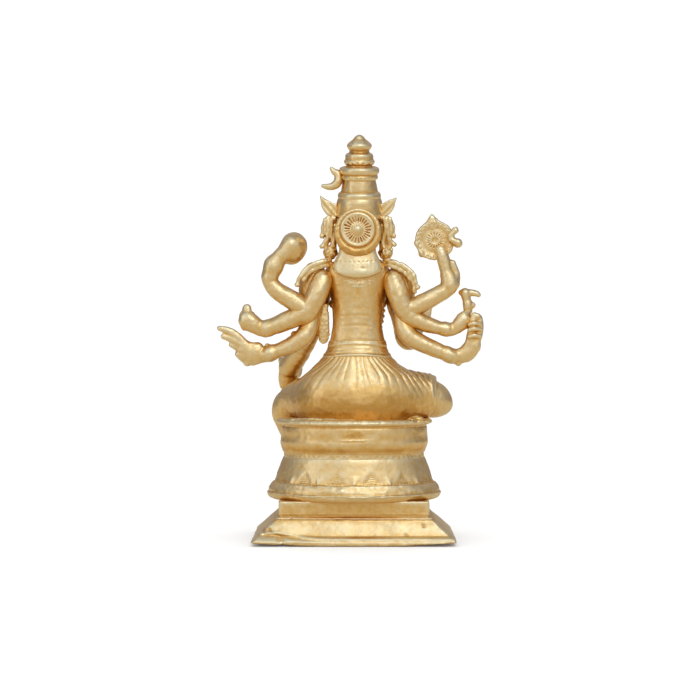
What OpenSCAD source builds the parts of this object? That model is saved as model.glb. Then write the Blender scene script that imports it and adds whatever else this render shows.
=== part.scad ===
// Seated eight-armed goddess idol on an oval lotus seat over a sloping plinth.
// The statue faces -Y, up is +Z, and the origin is the centre of the plinth's underside.

/* [Pedestal] */
// Width of the plinth where it stands on the floor
plinth_w = 37.2; // [35.4:0.1:44]
// Depth of the plinth where it stands on the floor
plinth_d = 25; // [23:0.1:32]
// Height of the plinth up to the dado
plinth_h = 4.8; // [3.6:0.1:6]
// Depth of the oval lotus seat over its width
oval = 0.7; // [0.64:0.01:0.78]
// Number of petals around the lotus
petals = 14; // [10:1:20]
// Height of a petal's middle above the lotus body
petal_out = 0.8; // [0.3:0.1:1.1]
// Number of beads around the waist of the seat
beads = 48; // [30:2:60]

/* [Figure] */
// Thickness of arms and legs against the nominal figure
limb = 1; // [0.88:0.01:1.1]
// Number of pleats around the skirt
pleats = 26; // [16:1:40]
// Height of a skirt pleat
pleat_out = 0.28; // [0:0.02:0.5]

/* [Crown] */
// Radius of the widest crown ring
crown_r = 4; // [3.6:0.1:4.8]
// Outer radius of the disc behind the head
halo_r = 4.4; // [3.8:0.1:5]

/* [Held things] */
// Outer radius of the discus
discus_r = 3.6; // [3:0.1:4.2]
// Length of the middle flame on the discus
flame_h = 2.2; // [1.2:0.1:3]
// Radius of the bowl on the left knee
bowl_r = 2.4; // [1.9:0.1:2.8]

/* [Hidden] */
// Seat height of the nominal pedestal, which the figure's own heights start from
nominal_seat = 22.8;
nominal_plinth = 4.8;
rise = plinth_h - nominal_plinth;
bevel = 0.9;
dado_w = 27.8;
dado_d = 18.4;
back = 90;
head_x = -0.75;
crown_x = -1;
crown_y = -0.5;
brow_z = 61;
crown_lean = 8;

function unit(v) = v / norm(v);

// Points of a smooth curve through p, with k steps between two points
function spline(p, k) =
    let(n = len(p))
    [
        for (i = [0 : n - 2], j = [0 : k - 1])
            let(
                t = j / k,
                a = p[max(i - 1, 0)],
                b = p[i],
                c = p[i + 1],
                d = p[min(i + 2, n - 1)]
            )
            0.5 * (
                2 * b + (c - a) * t + (2 * a - 5 * b + 4 * c - d) * t * t
                + (3 * b - a - 3 * c + d) * t * t * t
            ),
        p[n - 1]
    ];

// One closed solid from a stack of rings with the same number of points
module skin(rings) {
    n = len(rings[0]);
    m = len(rings);
    polyhedron(
        points = [for (r = rings) each r],
        faces = [
            [for (k = [0 : n - 1]) n - 1 - k],
            for (i = [0 : m - 2], k = [0 : n - 1], h = [0, 1])
                let(a = i * n + k, b = i * n + (k + 1) % n, c = a + n, d = b + n)
                h == 0 ? [a, b, d] : [a, d, c],
            [for (k = [0 : n - 1]) (m - 1) * n + k]
        ]
    );
}

// A rounded limb through stations [x, y, z, r] or [x, y, z, r along up, r across]
module tube(stations, sides = 10, steps = 2, up = [0, 1, 0]) {
    s = spline([for (q = stations) len(q) > 4 ? q : [q[0], q[1], q[2], q[3], q[3]]], steps);
    n = len(s);
    function at(i) = [s[i][0], s[i][1], s[i][2]];
    function along(i) = unit(at(min(i + 1, n - 1)) - at(max(i - 1, 0)));
    function ring(i, push, size) =
        let(t = along(i), u = unit(up - (up * t) * t), b = cross(t, u))
        [
            for (k = [0 : sides - 1])
                let(a = 360 * k / sides)
                at(i) + t * push * min(s[i][3], s[i][4])
                + u * s[i][3] * size * cos(a) - b * s[i][4] * size * sin(a)
        ];
    skin([
        ring(0, -sin(65), cos(65)),
        ring(0, -sin(30), cos(30)),
        for (i = [0 : n - 1]) ring(i, 0, 1),
        ring(n - 1, sin(30), cos(30)),
        ring(n - 1, sin(65), cos(65))
    ]);
}

// A body of upright stations [x, y, z, half width, half depth]
module column(stations, sides = 18, steps = 2) {
    s = spline(stations, steps);
    skin([
        for (q = s) [
            for (k = [0 : sides - 1])
                let(a = 360 * k / sides)
                [q[0] + q[3] * cos(a), q[1] - q[4] * sin(a), q[2]]
        ]
    ]);
}

// An oval moulding from a profile of [half width, z]
module oval_moulding(profile, sides = 52) {
    skin([
        for (q = profile) [
            for (k = [0 : sides - 1])
                let(a = 360 * k / sides)
                [q[0] * cos(a), -q[0] * oval * sin(a), q[1]]
        ]
    ]);
}

// Solids joined or cut inside this come out as one mesh
module as_mesh() {
    resize([0, 0, 0]) children();
}

// Everything above the plinth moves up and down with the plinth's height
module raised() {
    translate([0, 0, rise]) children();
}

module mirrored() {
    mirror([1, 0, 0]) children();
}

function thick(stations) = [for (q = stations) [for (i = [0 : len(q) - 1]) i > 2 ? q[i] * limb : q[i]]];

// ---------------------------------------------------------------- pedestal

module plinth_profile(w, top) {
    polygon([
        [-w / 2, 0], [w / 2, 0], [w / 2 - 0.1, bevel], [w / 2 - 0.6, bevel + 0.15],
        [top / 2 + 0.8, plinth_h], [-top / 2 - 0.8, plinth_h],
        [-w / 2 + 0.6, bevel + 0.15], [-w / 2 + 0.1, bevel]
    ]);
}

module plinth() {
    color("goldenrod") intersection() {
        rotate([90, 0, 0]) linear_extrude(plinth_d + 4, center = true) plinth_profile(plinth_w, dado_w);
        rotate([90, 0, 90])
            linear_extrude(plinth_w + 4, center = true) plinth_profile(plinth_d, dado_d);
    }
}

module dado_profile(w) {
    polygon([
        [-w / 2 - 0.8, 0], [w / 2 + 0.8, 0], [w / 2 + 0.25, 0.45], [w / 2, 1.1],
        [w / 2, 3], [-w / 2, 3], [-w / 2, 1.1], [-w / 2 - 0.25, 0.45]
    ]);
}

module dado() {
    color("goldenrod") translate([0, 0, plinth_h]) intersection() {
        rotate([90, 0, 0]) linear_extrude(dado_d + 4, center = true) dado_profile(dado_w);
        rotate([90, 0, 90]) linear_extrude(dado_w + 4, center = true) dado_profile(dado_d);
    }
}

module lotus_foot() {
    color("gold") raised() oval_moulding([
        [15.6, 7.8], [16.2, 8.1], [16.35, 8.6], [16.3, 9.1],
        [15.9, 9.5], [16, 9.9], [16.1, 10.3], [15.6, 10.8]
    ]);
}

// Relief of a petal at angle a, where t runs from 0 at its root to 1 at its tip
function petal(a, t) =
    let(
        f = 2 * abs((a - back) * petals / 360 + 100 - floor((a - back) * petals / 360 + 100.5)),
        w = sqrt(max(0.03, 1 - t * t * t))
    )
    f < w ? petal_out * sqrt(1 - f * f / (w * w)) * min(1, 0.35 + t) : 0;

module lotus() {
    sides = petals * 6;
    body = [
        [15, 10.8, 1], [14.9, 11.3, 0.93], [14.5, 12.1, 0.78], [14, 13.1, 0.56], [13.4, 14.3, 0.3],
        [12.9, 15.6, 0.06]
    ];
    color("gold") raised() skin([
        for (q = body) [
            for (k = [0 : sides - 1])
                let(a = 360 * k / sides, r = q[0] + petal(-a, q[2]))
                [r * cos(a), -r * oval * sin(a), q[1]]
        ]
    ]);
}

module waist_beads() {
    sides = beads * 3;
    rows = [[12.8, 0, 15.6], [12.9, 0.42, 15.85], [12.9, 0.42, 16.45], [12.8, 0, 16.72]];
    color("gold") raised() skin([
        for (q = rows) [
            for (k = [0 : sides - 1])
                let(a = 360 * k / sides, r = q[0] + q[1] * abs(cos(beads * a / 2)))
                [r * cos(a), -r * oval * sin(a), q[2]]
        ]
    ]);
}

module seat_drum() {
    color("gold") raised() oval_moulding([
        [12.8, 16.72], [13.4, 17.3], [13.8, 18], [13.9, 18.6], [13.75, 19.6],
        [13.6, 20.6], [13.7, 21.3], [14.1, 21.7]
    ]);
}

module seat_rim() {
    color("gold") raised() oval_moulding([
        [14.1, 21.7], [14.6, 22], [14.65, 22.35], [14.3, 22.7], [13.6, 22.8]
    ]);
}

module footrest() {
    color("gold") difference() {
        raised() translate([11.4, -11, 0]) rotate_extrude($fn = 32) polygon([
            [0, 0.4], [1.5, 0.4], [1.4, 3.4], [1.8, 4.4],
            [2.7, 5.4], [2.9, 5.9], [2.6, 6.5], [0, 6.5]
        ]);
        plinth();
    }
}

// ---------------------------------------------------------------- legs and skirt

module skirt_body() {
    sides = pleats * 4;
    s = spline([
        [-0.4, 0.4, 22.8, 10.6, 6.2], [-0.4, 0.4, 25, 11, 6.6], [-0.4, 0.4, 28, 10.9, 6.4],
        [-0.4, 0.3, 30.6, 10, 5.8], [-0.5, 0.2, 32.8, 8.4, 5],
        [-0.6, 0.1, 34.2, 6.7, 4.4], [-0.6, 0.1, 35, 5.8, 4]
    ], 1);
    skin([
        for (q = s) [
            for (k = [0 : sides - 1])
                let(
                    a = 360 * k / sides,
                    fade = max(0, min(1, (q[2] - 26) / 4)),
                    fold = 1 + fade * pleat_out / q[3] * cos(pleats * a)
                )
                [q[0] + q[3] * fold * cos(a), q[1] - q[4] * fold * sin(a), q[2]]
        ]
    ]);
}

module skirt() {
    color("goldenrod") raised() skirt_body();
}

module thigh_right() {
    color("goldenrod") raised() as_mesh() difference() {
        intersection() {
            thigh_right_shape();
            translate([-20, -20, nominal_seat]) cube([40, 40, 20]);
        }
        skirt_body();
    }
}

module shin_right_shape() {
    tube(thick([
        [-16.1, -3.6, 25.6, 2.6], [-14.2, -6.4, 25.3, 2.5], [-9.6, -8.2, 25, 2.2],
        [-5.4, -8.5, 24.7, 1.5]
    ]), 10);
    tube(thick([
        [-5.4, -8.4, 24.6, 1.3, 1.2], [-3, -8.6, 24.2, 1.25, 1.2], [0.2, -8.8, 23.9, 1.4, 0.9]
    ]), 10);
}

module shin_right() {
    color("goldenrod") raised() as_mesh() difference() {
        intersection() {
            shin_right_shape();
            translate([-30, -20, nominal_seat]) cube([60, 40, 20]);
        }
        thigh_right_shape();
        skirt_body();
    }
}

module thigh_right_shape() {
    tube(thick([
        [-5, -0.5, 27.6, 4.6], [-9, -1.4, 27.4, 4.6], [-12.8, -2.4, 27.2, 4.3],
        [-15.4, -3.1, 26.3, 3.6]
    ]), 14);
}

module thigh_left_shape() {
    tube(thick([
        [4.6, -0.5, 27.6, 4.6], [8.6, -3, 27.4, 4.4], [11.2, -6, 26.6, 3.8], [12.4, -7.8, 25.2, 3.3]
    ]), 14);
}

module thigh_left() {
    color("goldenrod") raised() as_mesh() difference() {
        intersection() {
            thigh_left_shape();
            union() {
                translate([-20, -20, nominal_seat]) cube([40, 40, 20]);
                translate([9, -20, 15]) cube([12, 12.2, 20]);
            }
        }
        skirt_body();
        seat_stack();
    }
}

module seat_stack() {
    translate([0, 0, -rise]) {
        seat_rim();
        seat_drum();
        lotus();
        lotus_foot();
    }
}

module shin_left() {
    color("goldenrod") raised() as_mesh() difference() {
        union() {
            tube(thick([
                [12.6, -8.6, 23.8, 2.8], [12.7, -9.4, 20.4, 2.2], [12.5, -10, 15.4, 1.9],
                [12, -10.2, 9.6, 1.3]
            ]), 10);
            tube(thick([
                [12, -9.9, 7.9, 1.2, 1.1], [11.7, -11.4, 7.7, 1.2, 1.1],
                [11.4, -13.2, 7.3, 0.8, 1.3]
            ]), 10, 3, [0, 0, 1]);
        }
        thigh_left_shape();
        translate([0, -11, 2.5]) cube([40, 20, 8], center = true);
        seat_stack();
    }
}

module belt() {
    color("gold") raised() difference() {
        as_mesh() column([
            [-0.6, 0.1, 34.3, 6.9, 4.8], [-0.6, 0.1, 35.2, 6.3, 4.5],
            [-0.6, 0.1, 36.2, 5.75, 4.1], [-0.6, 0.1, 37.3, 5.45, 3.6]
        ], 30, 1);
        as_mesh() union() {
            torso_shape();
            skirt_body();
        }
    }
}

module front_sash() {
    color("gold") raised() as_mesh() difference() {
        tube([
            [-0.6, -4.8, 35.4, 0.8, 1.6], [-0.4, -6.3, 31.8, 0.7, 1.5], [-0.3, -7.1, 28, 0.7, 1.7],
            [-0.3, -7.6, 24, 0.8, 2.1]
        ], 12);
        skirt_body();
        torso_shape();
        shin_right_shape();
    }
}

// ---------------------------------------------------------------- trunk and head

module torso_shape() {
    column([
        [-0.6, 0, 33.4, 5.3, 3.7], [-0.6, 0.1, 36, 5.4, 3.6], [-0.6, 0.2, 38.6, 5, 3.2],
        [-0.6, 0.2, 41.2, 4.6, 3],
        [-0.7, 0.1, 45, 5, 3.3], [-0.7, 0, 48.4, 6, 3.5], [-0.7, 0.1, 50.8, 6.5, 3.2],
        [-0.7, 0.3, 52.5, 4.6, 2.5],
        [-0.7, 0.1, 53.6, 2.2, 2]
    ]);
    for (side = [-1, 1]) translate([-0.7 + side * 2.5, -2.6, 47]) sphere(2.3, $fn = 14);
}

module torso() {
    color("goldenrod") raised() as_mesh() difference() {
        torso_shape();
        skirt_body();
    }
}

module breast_band() {
    color("gold") raised() as_mesh() difference() {
        column([
            [-0.7, -0.1, 43.6, 5.1, 3.6], [-0.7, -0.1, 44.3, 5.4, 3.9], [-0.7, -0.1, 45, 5.35, 3.7]
        ], 30, 1);
        torso_shape();
    }
}

module necklace() {
    color("gold") raised() as_mesh() difference() {
        tube([
            [-3.8, -0.6, 52.6, 0.6], [-3.2, -3.4, 51, 0.6], [-0.7, -4.6, 49.6, 0.8],
            [1.8, -3.4, 51, 0.6], [2.4, -0.6, 52.6, 0.6]
        ], 10);
        torso_shape();
        head_shape();
    }
}

module garland() {
    color("gold") raised() as_mesh() difference() {
        union() {
            tube([
                [-4.6, 0.4, 52.2, 0.6], [-5.4, -3.2, 50.6, 0.65], [-5.3, -4.4, 46.6, 0.65],
                [-5.2, -3.4, 41.6, 0.65], [-3.4, -4.6, 36.4, 0.65], [-0.6, -5.6, 34.2, 0.8]
            ], 8);
            mirrored() tube([
                [-3.2, 0.4, 52.2, 0.6], [-4, -3.2, 50.6, 0.65], [-3.9, -4.4, 46.6, 0.65],
                [-3.8, -3.4, 41.6, 0.65], [-2.2, -4.6, 36.4, 0.65], [0.6, -5.6, 34.2, 0.8]
            ], 8);
        }
        torso_shape();
        skirt_body();
        arm_left_front_shape();
        arm_right_front_shape();
        translate([0, 0, -rise]) {
            belt();
            breast_band();
            necklace();
            front_sash();
        }
    }
}

module head_shape() {
    column([
        [head_x, -1.3, 53.1, 1.2, 1.4], [head_x, -1.1, 53.9, 2.5, 3],
        [head_x, -1, 55.6, 3.5, 3.8], [head_x, -0.9, 58, 3.95, 4.1],
        [head_x, -0.8, 60.1, 4, 4.1], [head_x, -0.7, 62.2, 3.6, 3.7]
    ]);
    column([
        [head_x, -0.2, 52, 2.1, 2], [head_x, -0.3, 53.6, 1.8, 1.8], [head_x, -0.4, 55.2, 2, 2]
    ], 20);
    // Nose
    tube([
        [head_x, -4.9, 58.4, 0.3], [head_x, -5.3, 57.2, 0.42], [head_x, -5.2, 56.8, 0.5]
    ], 8, 2, [1, 0, 0]);
}

module head() {
    color("goldenrod") raised() as_mesh() difference() {
        head_shape();
        torso_shape();
        crown_solid();
    }
}

module hair_fan() {
    color("khaki") raised() as_mesh() difference() {
        tube([
            [head_x, 2.7, 55, 1, 3.1], [head_x, 3.3, 52.8, 1.1, 3.4], [head_x, 3.9, 50.8, 1.1, 4.2],
            [head_x, 4.1, 49.9, 0.7, 4.3]
        ], 20, 2);
        head_shape();
        torso_shape();
    }
}

module nape_band() {
    color("gold") raised() as_mesh() difference() {
        tube([
            [-5, 1.4, 50.4, 0.6], [-3, 3, 48.6, 0.75], [-0.7, 3.4, 48, 0.8], [1.6, 3, 48.6, 0.75],
            [3.6, 1.4, 50.4, 0.6]
        ], 10);
        torso_shape();
        translate([0, 0, -rise]) hair_fan();
    }
}

module halo_ring() {
    color("gold") raised() translate([head_x, 3.2, 58])
    rotate([-90, 0, 0]) rotate_extrude($fn = 64) polygon([
        [halo_r - 1.1, 0], [halo_r - 0.3, 0], [halo_r, 0.35], [halo_r, 0.9], [halo_r - 0.4, 1.3],
        [halo_r - 0.8, 1.3], [halo_r - 1.1, 0.9]
    ]);
}

module halo_disc() {
    inner = halo_r - 1.1;
    color("gold") raised() translate([head_x, 2.6, 58])
    rotate([-90, 0, 0]) rotate_extrude($fn = 64) polygon([
        [0, 0], [inner, 0], [inner, 1.2], [2.6, 1.35], [2.3, 1.5],
        [1.5, 1.55], [1.15, 1.5], [1, 1.9], [0.55, 2.2], [0, 2.3]
    ]);
}

module ear_ornament(lean) {
    as_mesh() difference() {
        union() {
            tube([
                [4.1, 0.8, 60.4, 0.5, 0.45], [5.5, 0.6, 59.3, 0.5, 0.5], [6, 0.6, 57.2, 0.55, 0.5]
            ], 6);
            translate([5.9, 0.6, 56.9]) sphere(0.6, $fn = 14);
            tube([
                [3.9, 1.2, 60.2, 0.5, 0.6], [4.5, 1, 58, 0.5, 0.55], [5.2, 0.9, 56, 0.5, 0.6],
                [5.9, 0.8, 54.9 + lean, 0.5, 0.6]
            ], 6, 1);
            tube([
                [3.8, 0.7, 58.6, 0.7, 0.7], [4, 0.6, 55.4, 0.9, 0.9],
                [4.1, 0.6, 54.1, 1.2, 1.25], [4.1, 0.6, 53, 1, 1]
            ], 9, 1);
        }
        translate([head_x, 0, 0]) mirror([lean > 0 ? 1 : 0, 0, 0]) translate([-head_x, 0, 0]) {
            head_shape();
            torso_shape();
        }
    }
}

module ear_ornament_left() {
    color("gold") raised() ear_ornament(0);
}

module ear_ornament_right() {
    color("gold") raised() translate([2 * head_x, 0, 0]) mirrored() ear_ornament(0.3);
}

module leaf(tip_x, tip_z) {
    as_mesh() difference() {
        translate([0, 0.4, 0]) rotate([-90, 0, 0]) mirror([0, 1, 0]) linear_extrude(0.9) polygon([
            [3.2, 62.8], [4.6, 64], [tip_x, tip_z], [6, 62.6], [5.2, 61], [4.2, 60.4], [3, 60.6]
        ]);
        translate([head_x, 0, 0]) mirror([tip_x < 6 ? 0 : 1, 0, 0]) translate([-head_x, 0, 0]) {
            head_shape();
            crown_solid();
        }
    }
}

module leaf_left() {
    color("gold") raised() difference() {
        leaf(5.9, 64.3);
        as_mesh() ear_ornament(0);
    }
}

module leaf_right() {
    color("gold") raised() translate([2 * head_x, 0, 0]) mirrored() difference() {
        leaf(6.2, 64);
        as_mesh() ear_ornament(0.3);
    }
}

module tassel(drop) {
    as_mesh() difference() {
        union() {
            tube([
                [4.8, 1.2, 52.3, 0.6, 0.5], [6.6, 2.6, 51.6, 0.5, 0.45],
                [8.6, 2.8, 50.6, 0.5, 0.45], [10.2, 2.6, 48.6, 0.5, 0.4],
                [10.4, 2.6, 47.8 - drop, 0.5, 0.45]
            ], 8);
            translate([10.4, 2.6, 47.5 - drop]) sphere(0.6, $fn = 14);
        }
        arms_upper_mid();
        torso_shape();
    }
}

module tassel_left() {
    color("gold") raised() tassel(0);
}

module tassel_right() {
    color("gold") raised() translate([-1.2, 0, 0]) mirrored() difference() {
        tassel(0.7);
        as_mesh() translate([-1.2, 0, 0]) mirrored() arm_right_mid_shape();
    }
}

// ---------------------------------------------------------------- crown

module turned(profile, sides = 64) {
    translate([crown_x, crown_y, 0]) rotate_extrude($fn = sides) polygon(profile);
}

// The crown leans back from the brow
module leaning() {
    translate([0, crown_y, brow_z]) rotate([-crown_lean, 0, 0])
        translate([0, -crown_y, -brow_z]) children();
}

module crown_solid() {
    leaning() turned([[0, 60.4], [4.5, 60.4], [4.6, 61.4], [4.4, 62.9], [3.9, 64.4], [0, 64.4]]);
}

module crown_body() {
    color("goldenrod") raised() leaning() turned([
        [0, 60.4], [4.3, 60.4], [4.55, 60.9], [4.55, 61.5], [4.35, 61.8],
        [4.4, 62.9], [3.95, 64.4], [3.2, 64.6], [3.3, 65.4],
        [3.4, 65.9], [3.25, 66.8], [3.1, 67.6], [0, 67.6]
    ]);
}

module crown_ring() {
    color("gold") raised() leaning() turned([
        [3.2, 64.6], [crown_r - 0.5, 64.45], [crown_r, 64.7],
        [crown_r, 65.1], [crown_r - 0.4, 65.4], [3.3, 65.4]
    ]);
}

module crown_tier_mid() {
    color("gold") raised() leaning() turned([
        [0, 67.6], [2.9, 67.6], [3.45, 67.95], [3.45, 68.4], [3.2, 68.7],
        [3.7, 69.1], [3.75, 69.5], [3.3, 70], [0, 70]
    ]);
}

module crown_tier_top() {
    color("gold") raised() leaning() turned([
        [0, 70], [2.4, 70], [2.35, 70.5], [2.65, 70.8], [2.9, 71.1],
        [2.85, 71.4], [2.55, 71.55], [2.65, 71.9], [2.55, 72.3],
        [1.95, 72.45], [2, 72.7], [1.8, 72.9], [1.85, 73.15], [2.3, 73.6],
        [2.4, 74], [2, 74.5], [1.2, 74.9], [0.7, 75.1],
        [0.8, 75.6], [0.5, 75.95], [0, 76.1]
    ]);
}

module crown_crescent() {
    color("gold") raised() leaning() difference() {
        translate([4.2, 0.1, 67.9]) rotate([90, 0, 0]) cylinder(h = 1, r = 2.1, center = true, $fn = 40);
        translate([5.5, 0.1, 68.4]) rotate([90, 0, 0]) cylinder(h = 2, r = 1.7, center = true, $fn = 40);
        turned([[0, 60], [3.5, 60], [3.4, 66], [3.1, 67.6], [3.45, 67.95], [3.75, 69.5], [3.3, 70], [0, 70]]);
    }
}

module crown_crest() {
    color("gold") raised() difference() {
        translate([crown_x, -3.6, 60.6]) rotate([100, 0, 0]) linear_extrude(1.1) polygon([
            [-2.4, 0], [2.4, 0], [2.9, 1.6], [2, 3.2], [1.2, 4.2],
            [0, 6], [-1.2, 4.2], [-2, 3.2], [-2.9, 1.6]
        ]);
        leaning() turned([
            [0, 60], [4.55, 60], [4.6, 61.5], [4.4, 62.9], [3.95, 64.5], [crown_r, 64.6],
            [crown_r, 65.2], [3.5, 65.9], [3.2, 68], [0, 68]
        ]);
        as_mesh() head_shape();
    }
}

// ---------------------------------------------------------------- arms

module arms_upper_mid() {
    tube(thick([
        [5.9, 1.4, 50.4, 2.2], [6.9, 2.3, 47.2, 2.25], [8.3, 2.4, 44.4, 2], [9.4, 2.3, 42.6, 1.9]
    ]));
}

module arm_left_mid_shape() {
    arms_upper_mid();
    tube(thick([
        [9.4, 2.3, 42.5, 1.9], [12.2, 2.1, 41.2, 1.9], [14.9, 2, 40, 1.7], [17.3, 2, 39.5, 1.35]
    ]));
    tube(thick([[16.1, 2, 39.75, 1.75], [16.7, 2, 39.6, 1.75]]), 10, 1);
}

module arm_right_mid_shape() {
    tube(thick([
        [-6.9, 1.4, 50.4, 2.1], [-8, 2.3, 46.9, 2.05], [-9.1, 2.3, 44, 1.9], [-9.9, 2.2, 42.2, 1.8]
    ]));
    tube(thick([
        [-9.9, 2.2, 42.1, 1.8], [-12.2, 2, 41, 1.65], [-15.6, 2, 39.8, 1.35], [-18.2, 2, 39.4, 1.1]
    ]));
    tube(thick([[-16.9, 2, 39.6, 1.55], [-17.4, 2, 39.5, 1.5]]), 10, 1);
}

module arm_left_high_shape() {
    tube(thick([
        [9.8, 2.35, 43.5, 1.85], [11.6, 2.3, 44.9, 1.75], [14.6, 2.2, 46.9, 1.65],
        [16.2, 2.1, 49.2, 1.7], [15.9, 2.1, 50.4, 1.5]
    ]));
    tube(thick([[16.15, 2.1, 49.2, 2], [16.2, 2.1, 49.8, 1.95]]), 10, 1);
}

module arm_right_high_shape() {
    tube(thick([
        [-9.9, 2.3, 42.9, 1.8], [-12.2, 2.3, 43.9, 1.75], [-15.2, 2.2, 45.4, 1.65],
        [-17.4, 2.1, 47.2, 1.6], [-18, 2.1, 49.2, 1.4]
    ]));
    tube(thick([[-17.7, 2.1, 48, 1.9], [-17.85, 2.1, 48.6, 1.85]]), 10, 1);
}

module arm_left_low_shape() {
    tube(thick([
        [5.8, -0.2, 49.8, 2], [6.1, 0.2, 45.4, 1.9], [6.6, 1, 41.2, 1.8], [8.3, 1.9, 38.2, 2],
        [10.6, 2, 36.8, 1.8], [13.6, 2, 35.9, 1.5], [17, 2, 34.9, 1.35]
    ]));
    tube(thick([[15.4, 2, 35.3, 1.8], [15.9, 2, 35.15, 1.8]]), 10, 1);
}

module arm_right_low_shape() {
    tube(thick([
        [-6.8, -0.2, 49.8, 1.95], [-7.2, 0.2, 45.4, 1.85], [-7.8, 1.2, 41.6, 1.7],
        [-9, 1.9, 39, 1.9], [-11.4, 2, 37.5, 1.6], [-15, 2, 35.7, 1.55], [-18.2, 2, 34.4, 1.35]
    ]));
    tube(thick([[-17, 2, 34.9, 1.75], [-17.5, 2, 34.7, 1.7]]), 10, 1);
}

module arm_left_front_shape() {
    tube(thick([
        [5.4, -1.9, 49.6, 2], [6.4, -2.6, 45.4, 1.9], [7.6, -2.6, 40.6, 1.8],
        [8.8, -3.4, 37.6, 1.8], [10.2, -5.2, 34.6, 1.5], [11.4, -6.6, 32.4, 1.2]
    ]));
    tube(thick([[10.7, -5.8, 33.7, 1.65], [10.95, -6.1, 33.2, 1.6]]), 10, 1);
}

module arm_right_front_shape() {
    tube(thick([
        [-7.1, -2.1, 49.2, 1.8], [-7.8, -2.4, 45.2, 1.9], [-9.2, -2.4, 40.6, 1.8],
        [-10, -2.6, 37.6, 1.9], [-11, -4.8, 37.4, 1.5], [-12, -6.8, 38.8, 1.15]
    ]));
    tube(thick([[-11.3, -5.5, 37.7, 1.6], [-11.5, -5.9, 37.95, 1.6]]), 10, 1);
}

module arm_left_mid() {
    color("goldenrod") raised() as_mesh() difference() {
        arm_left_mid_shape();
        torso_shape();
    }
}

module arm_left_high() {
    color("goldenrod") raised() as_mesh() difference() {
        arm_left_high_shape();
        arm_left_mid_shape();
    }
}

module arm_left_low() {
    color("goldenrod") raised() as_mesh() difference() {
        arm_left_low_shape();
        torso_shape();
        arm_left_mid_shape();
    }
}

module arm_left_front() {
    color("goldenrod") raised() as_mesh() difference() {
        arm_left_front_shape();
        torso_shape();
        arm_left_low_shape();
        arm_left_mid_shape();
    }
}

module arm_right_mid() {
    color("goldenrod") raised() as_mesh() difference() {
        arm_right_mid_shape();
        torso_shape();
    }
}

module arm_right_high() {
    color("goldenrod") raised() as_mesh() difference() {
        arm_right_high_shape();
        arm_right_mid_shape();
    }
}

module arm_right_low() {
    color("goldenrod") raised() as_mesh() difference() {
        arm_right_low_shape();
        torso_shape();
        arm_right_mid_shape();
    }
}

module arm_right_front() {
    color("goldenrod") raised() as_mesh() difference() {
        arm_right_front_shape();
        torso_shape();
        arm_right_low_shape();
        arm_right_mid_shape();
    }
}

// ---------------------------------------------------------------- hands

// A palm through broad stations, and fingers through thin ones
module hand(palm, fingers) {
    tube(palm, 8, 1);
    for (f = fingers) tube(f, 6, 1);
}

module hand_left_high() {
    color("goldenrod") raised() as_mesh() difference() {
        hand(
            [[16, 2.1, 50.6, 1, 1.3], [15.2, 2.2, 52, 0.9, 1.7], [14.2, 2.2, 53.4, 0.8, 1.6]],
            [
                [[14.6, 2, 54.4, 0.6], [13.4, 1.4, 55.6, 0.55], [12.6, 0.6, 56.6, 0.5]],
                [[14, 2.2, 53.6, 0.6], [12.8, 2.4, 54.2, 0.55], [11.6, 2.4, 54.2, 0.5]],
                [[13.4, 2, 52.8, 0.6], [12.2, 1.6, 53, 0.55], [11.2, 1, 53, 0.5]]
            ]
        );
        arm_left_high_shape();
        conch_shape();
    }
}

module hand_left_mid() {
    color("goldenrod") raised() as_mesh() difference() {
        hand(
            [[17.6, 2, 39.6, 1.1, 1.2], [19, 2, 40.4, 1.5, 1.6], [19.9, 2, 41.2, 1.4, 1.5]],
            [
                [[20.6, 1.6, 41.9, 0.6], [20, 0.6, 42.3, 0.6], [19, 0.4, 42, 0.55]],
                [[20.7, 1.6, 40.9, 0.6], [20.2, 0.4, 41, 0.6], [19.2, 0.2, 41, 0.55]],
                [[20.3, 1.6, 39.9, 0.6], [19.9, 0.5, 39.9, 0.6], [19, 0.3, 40, 0.55]]
            ]
        );
        arm_left_mid_shape();
        club_shape();
    }
}

module hand_left_low() {
    color("goldenrod") raised() as_mesh() difference() {
        hand(
            [
                [17.2, 2, 34.8, 0.9, 1.25], [19, 2.1, 34.9, 0.8, 1.8], [20.6, 2.2, 35.4, 0.75, 2.2],
                [21.6, 2.2, 36, 0.65, 1.8]
            ],
            [
                [[21, 2.2, 37.2, 0.5, 0.6], [23.4, 2.3, 38.6, 0.5, 0.55],
                 [25.4, 2.3, 39.7, 0.4, 0.45]],
                [
                    [21.6, 2.2, 36.3, 0.5, 0.6], [23.6, 2.3, 37.4, 0.5, 0.55],
                    [25.2, 2.3, 38.4, 0.4, 0.45]
                ],
                [
                    [21.7, 2.2, 35.4, 0.5, 0.6], [23.2, 2.3, 36.4, 0.5, 0.55],
                    [24.5, 2.3, 37.2, 0.4, 0.45]
                ],
                [[21.2, 2.2, 34.4, 0.5, 0.6], [22.3, 2.3, 35.3, 0.5, 0.5],
                 [23.2, 2.3, 36, 0.4, 0.4]],
                [[18.8, 2, 36, 0.6, 0.6], [19.6, 1.8, 37.4, 0.5, 0.55],
                 [20.4, 1.6, 38.4, 0.45, 0.45]]
            ]
        );
        arm_left_low_shape();
    }
}

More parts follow.
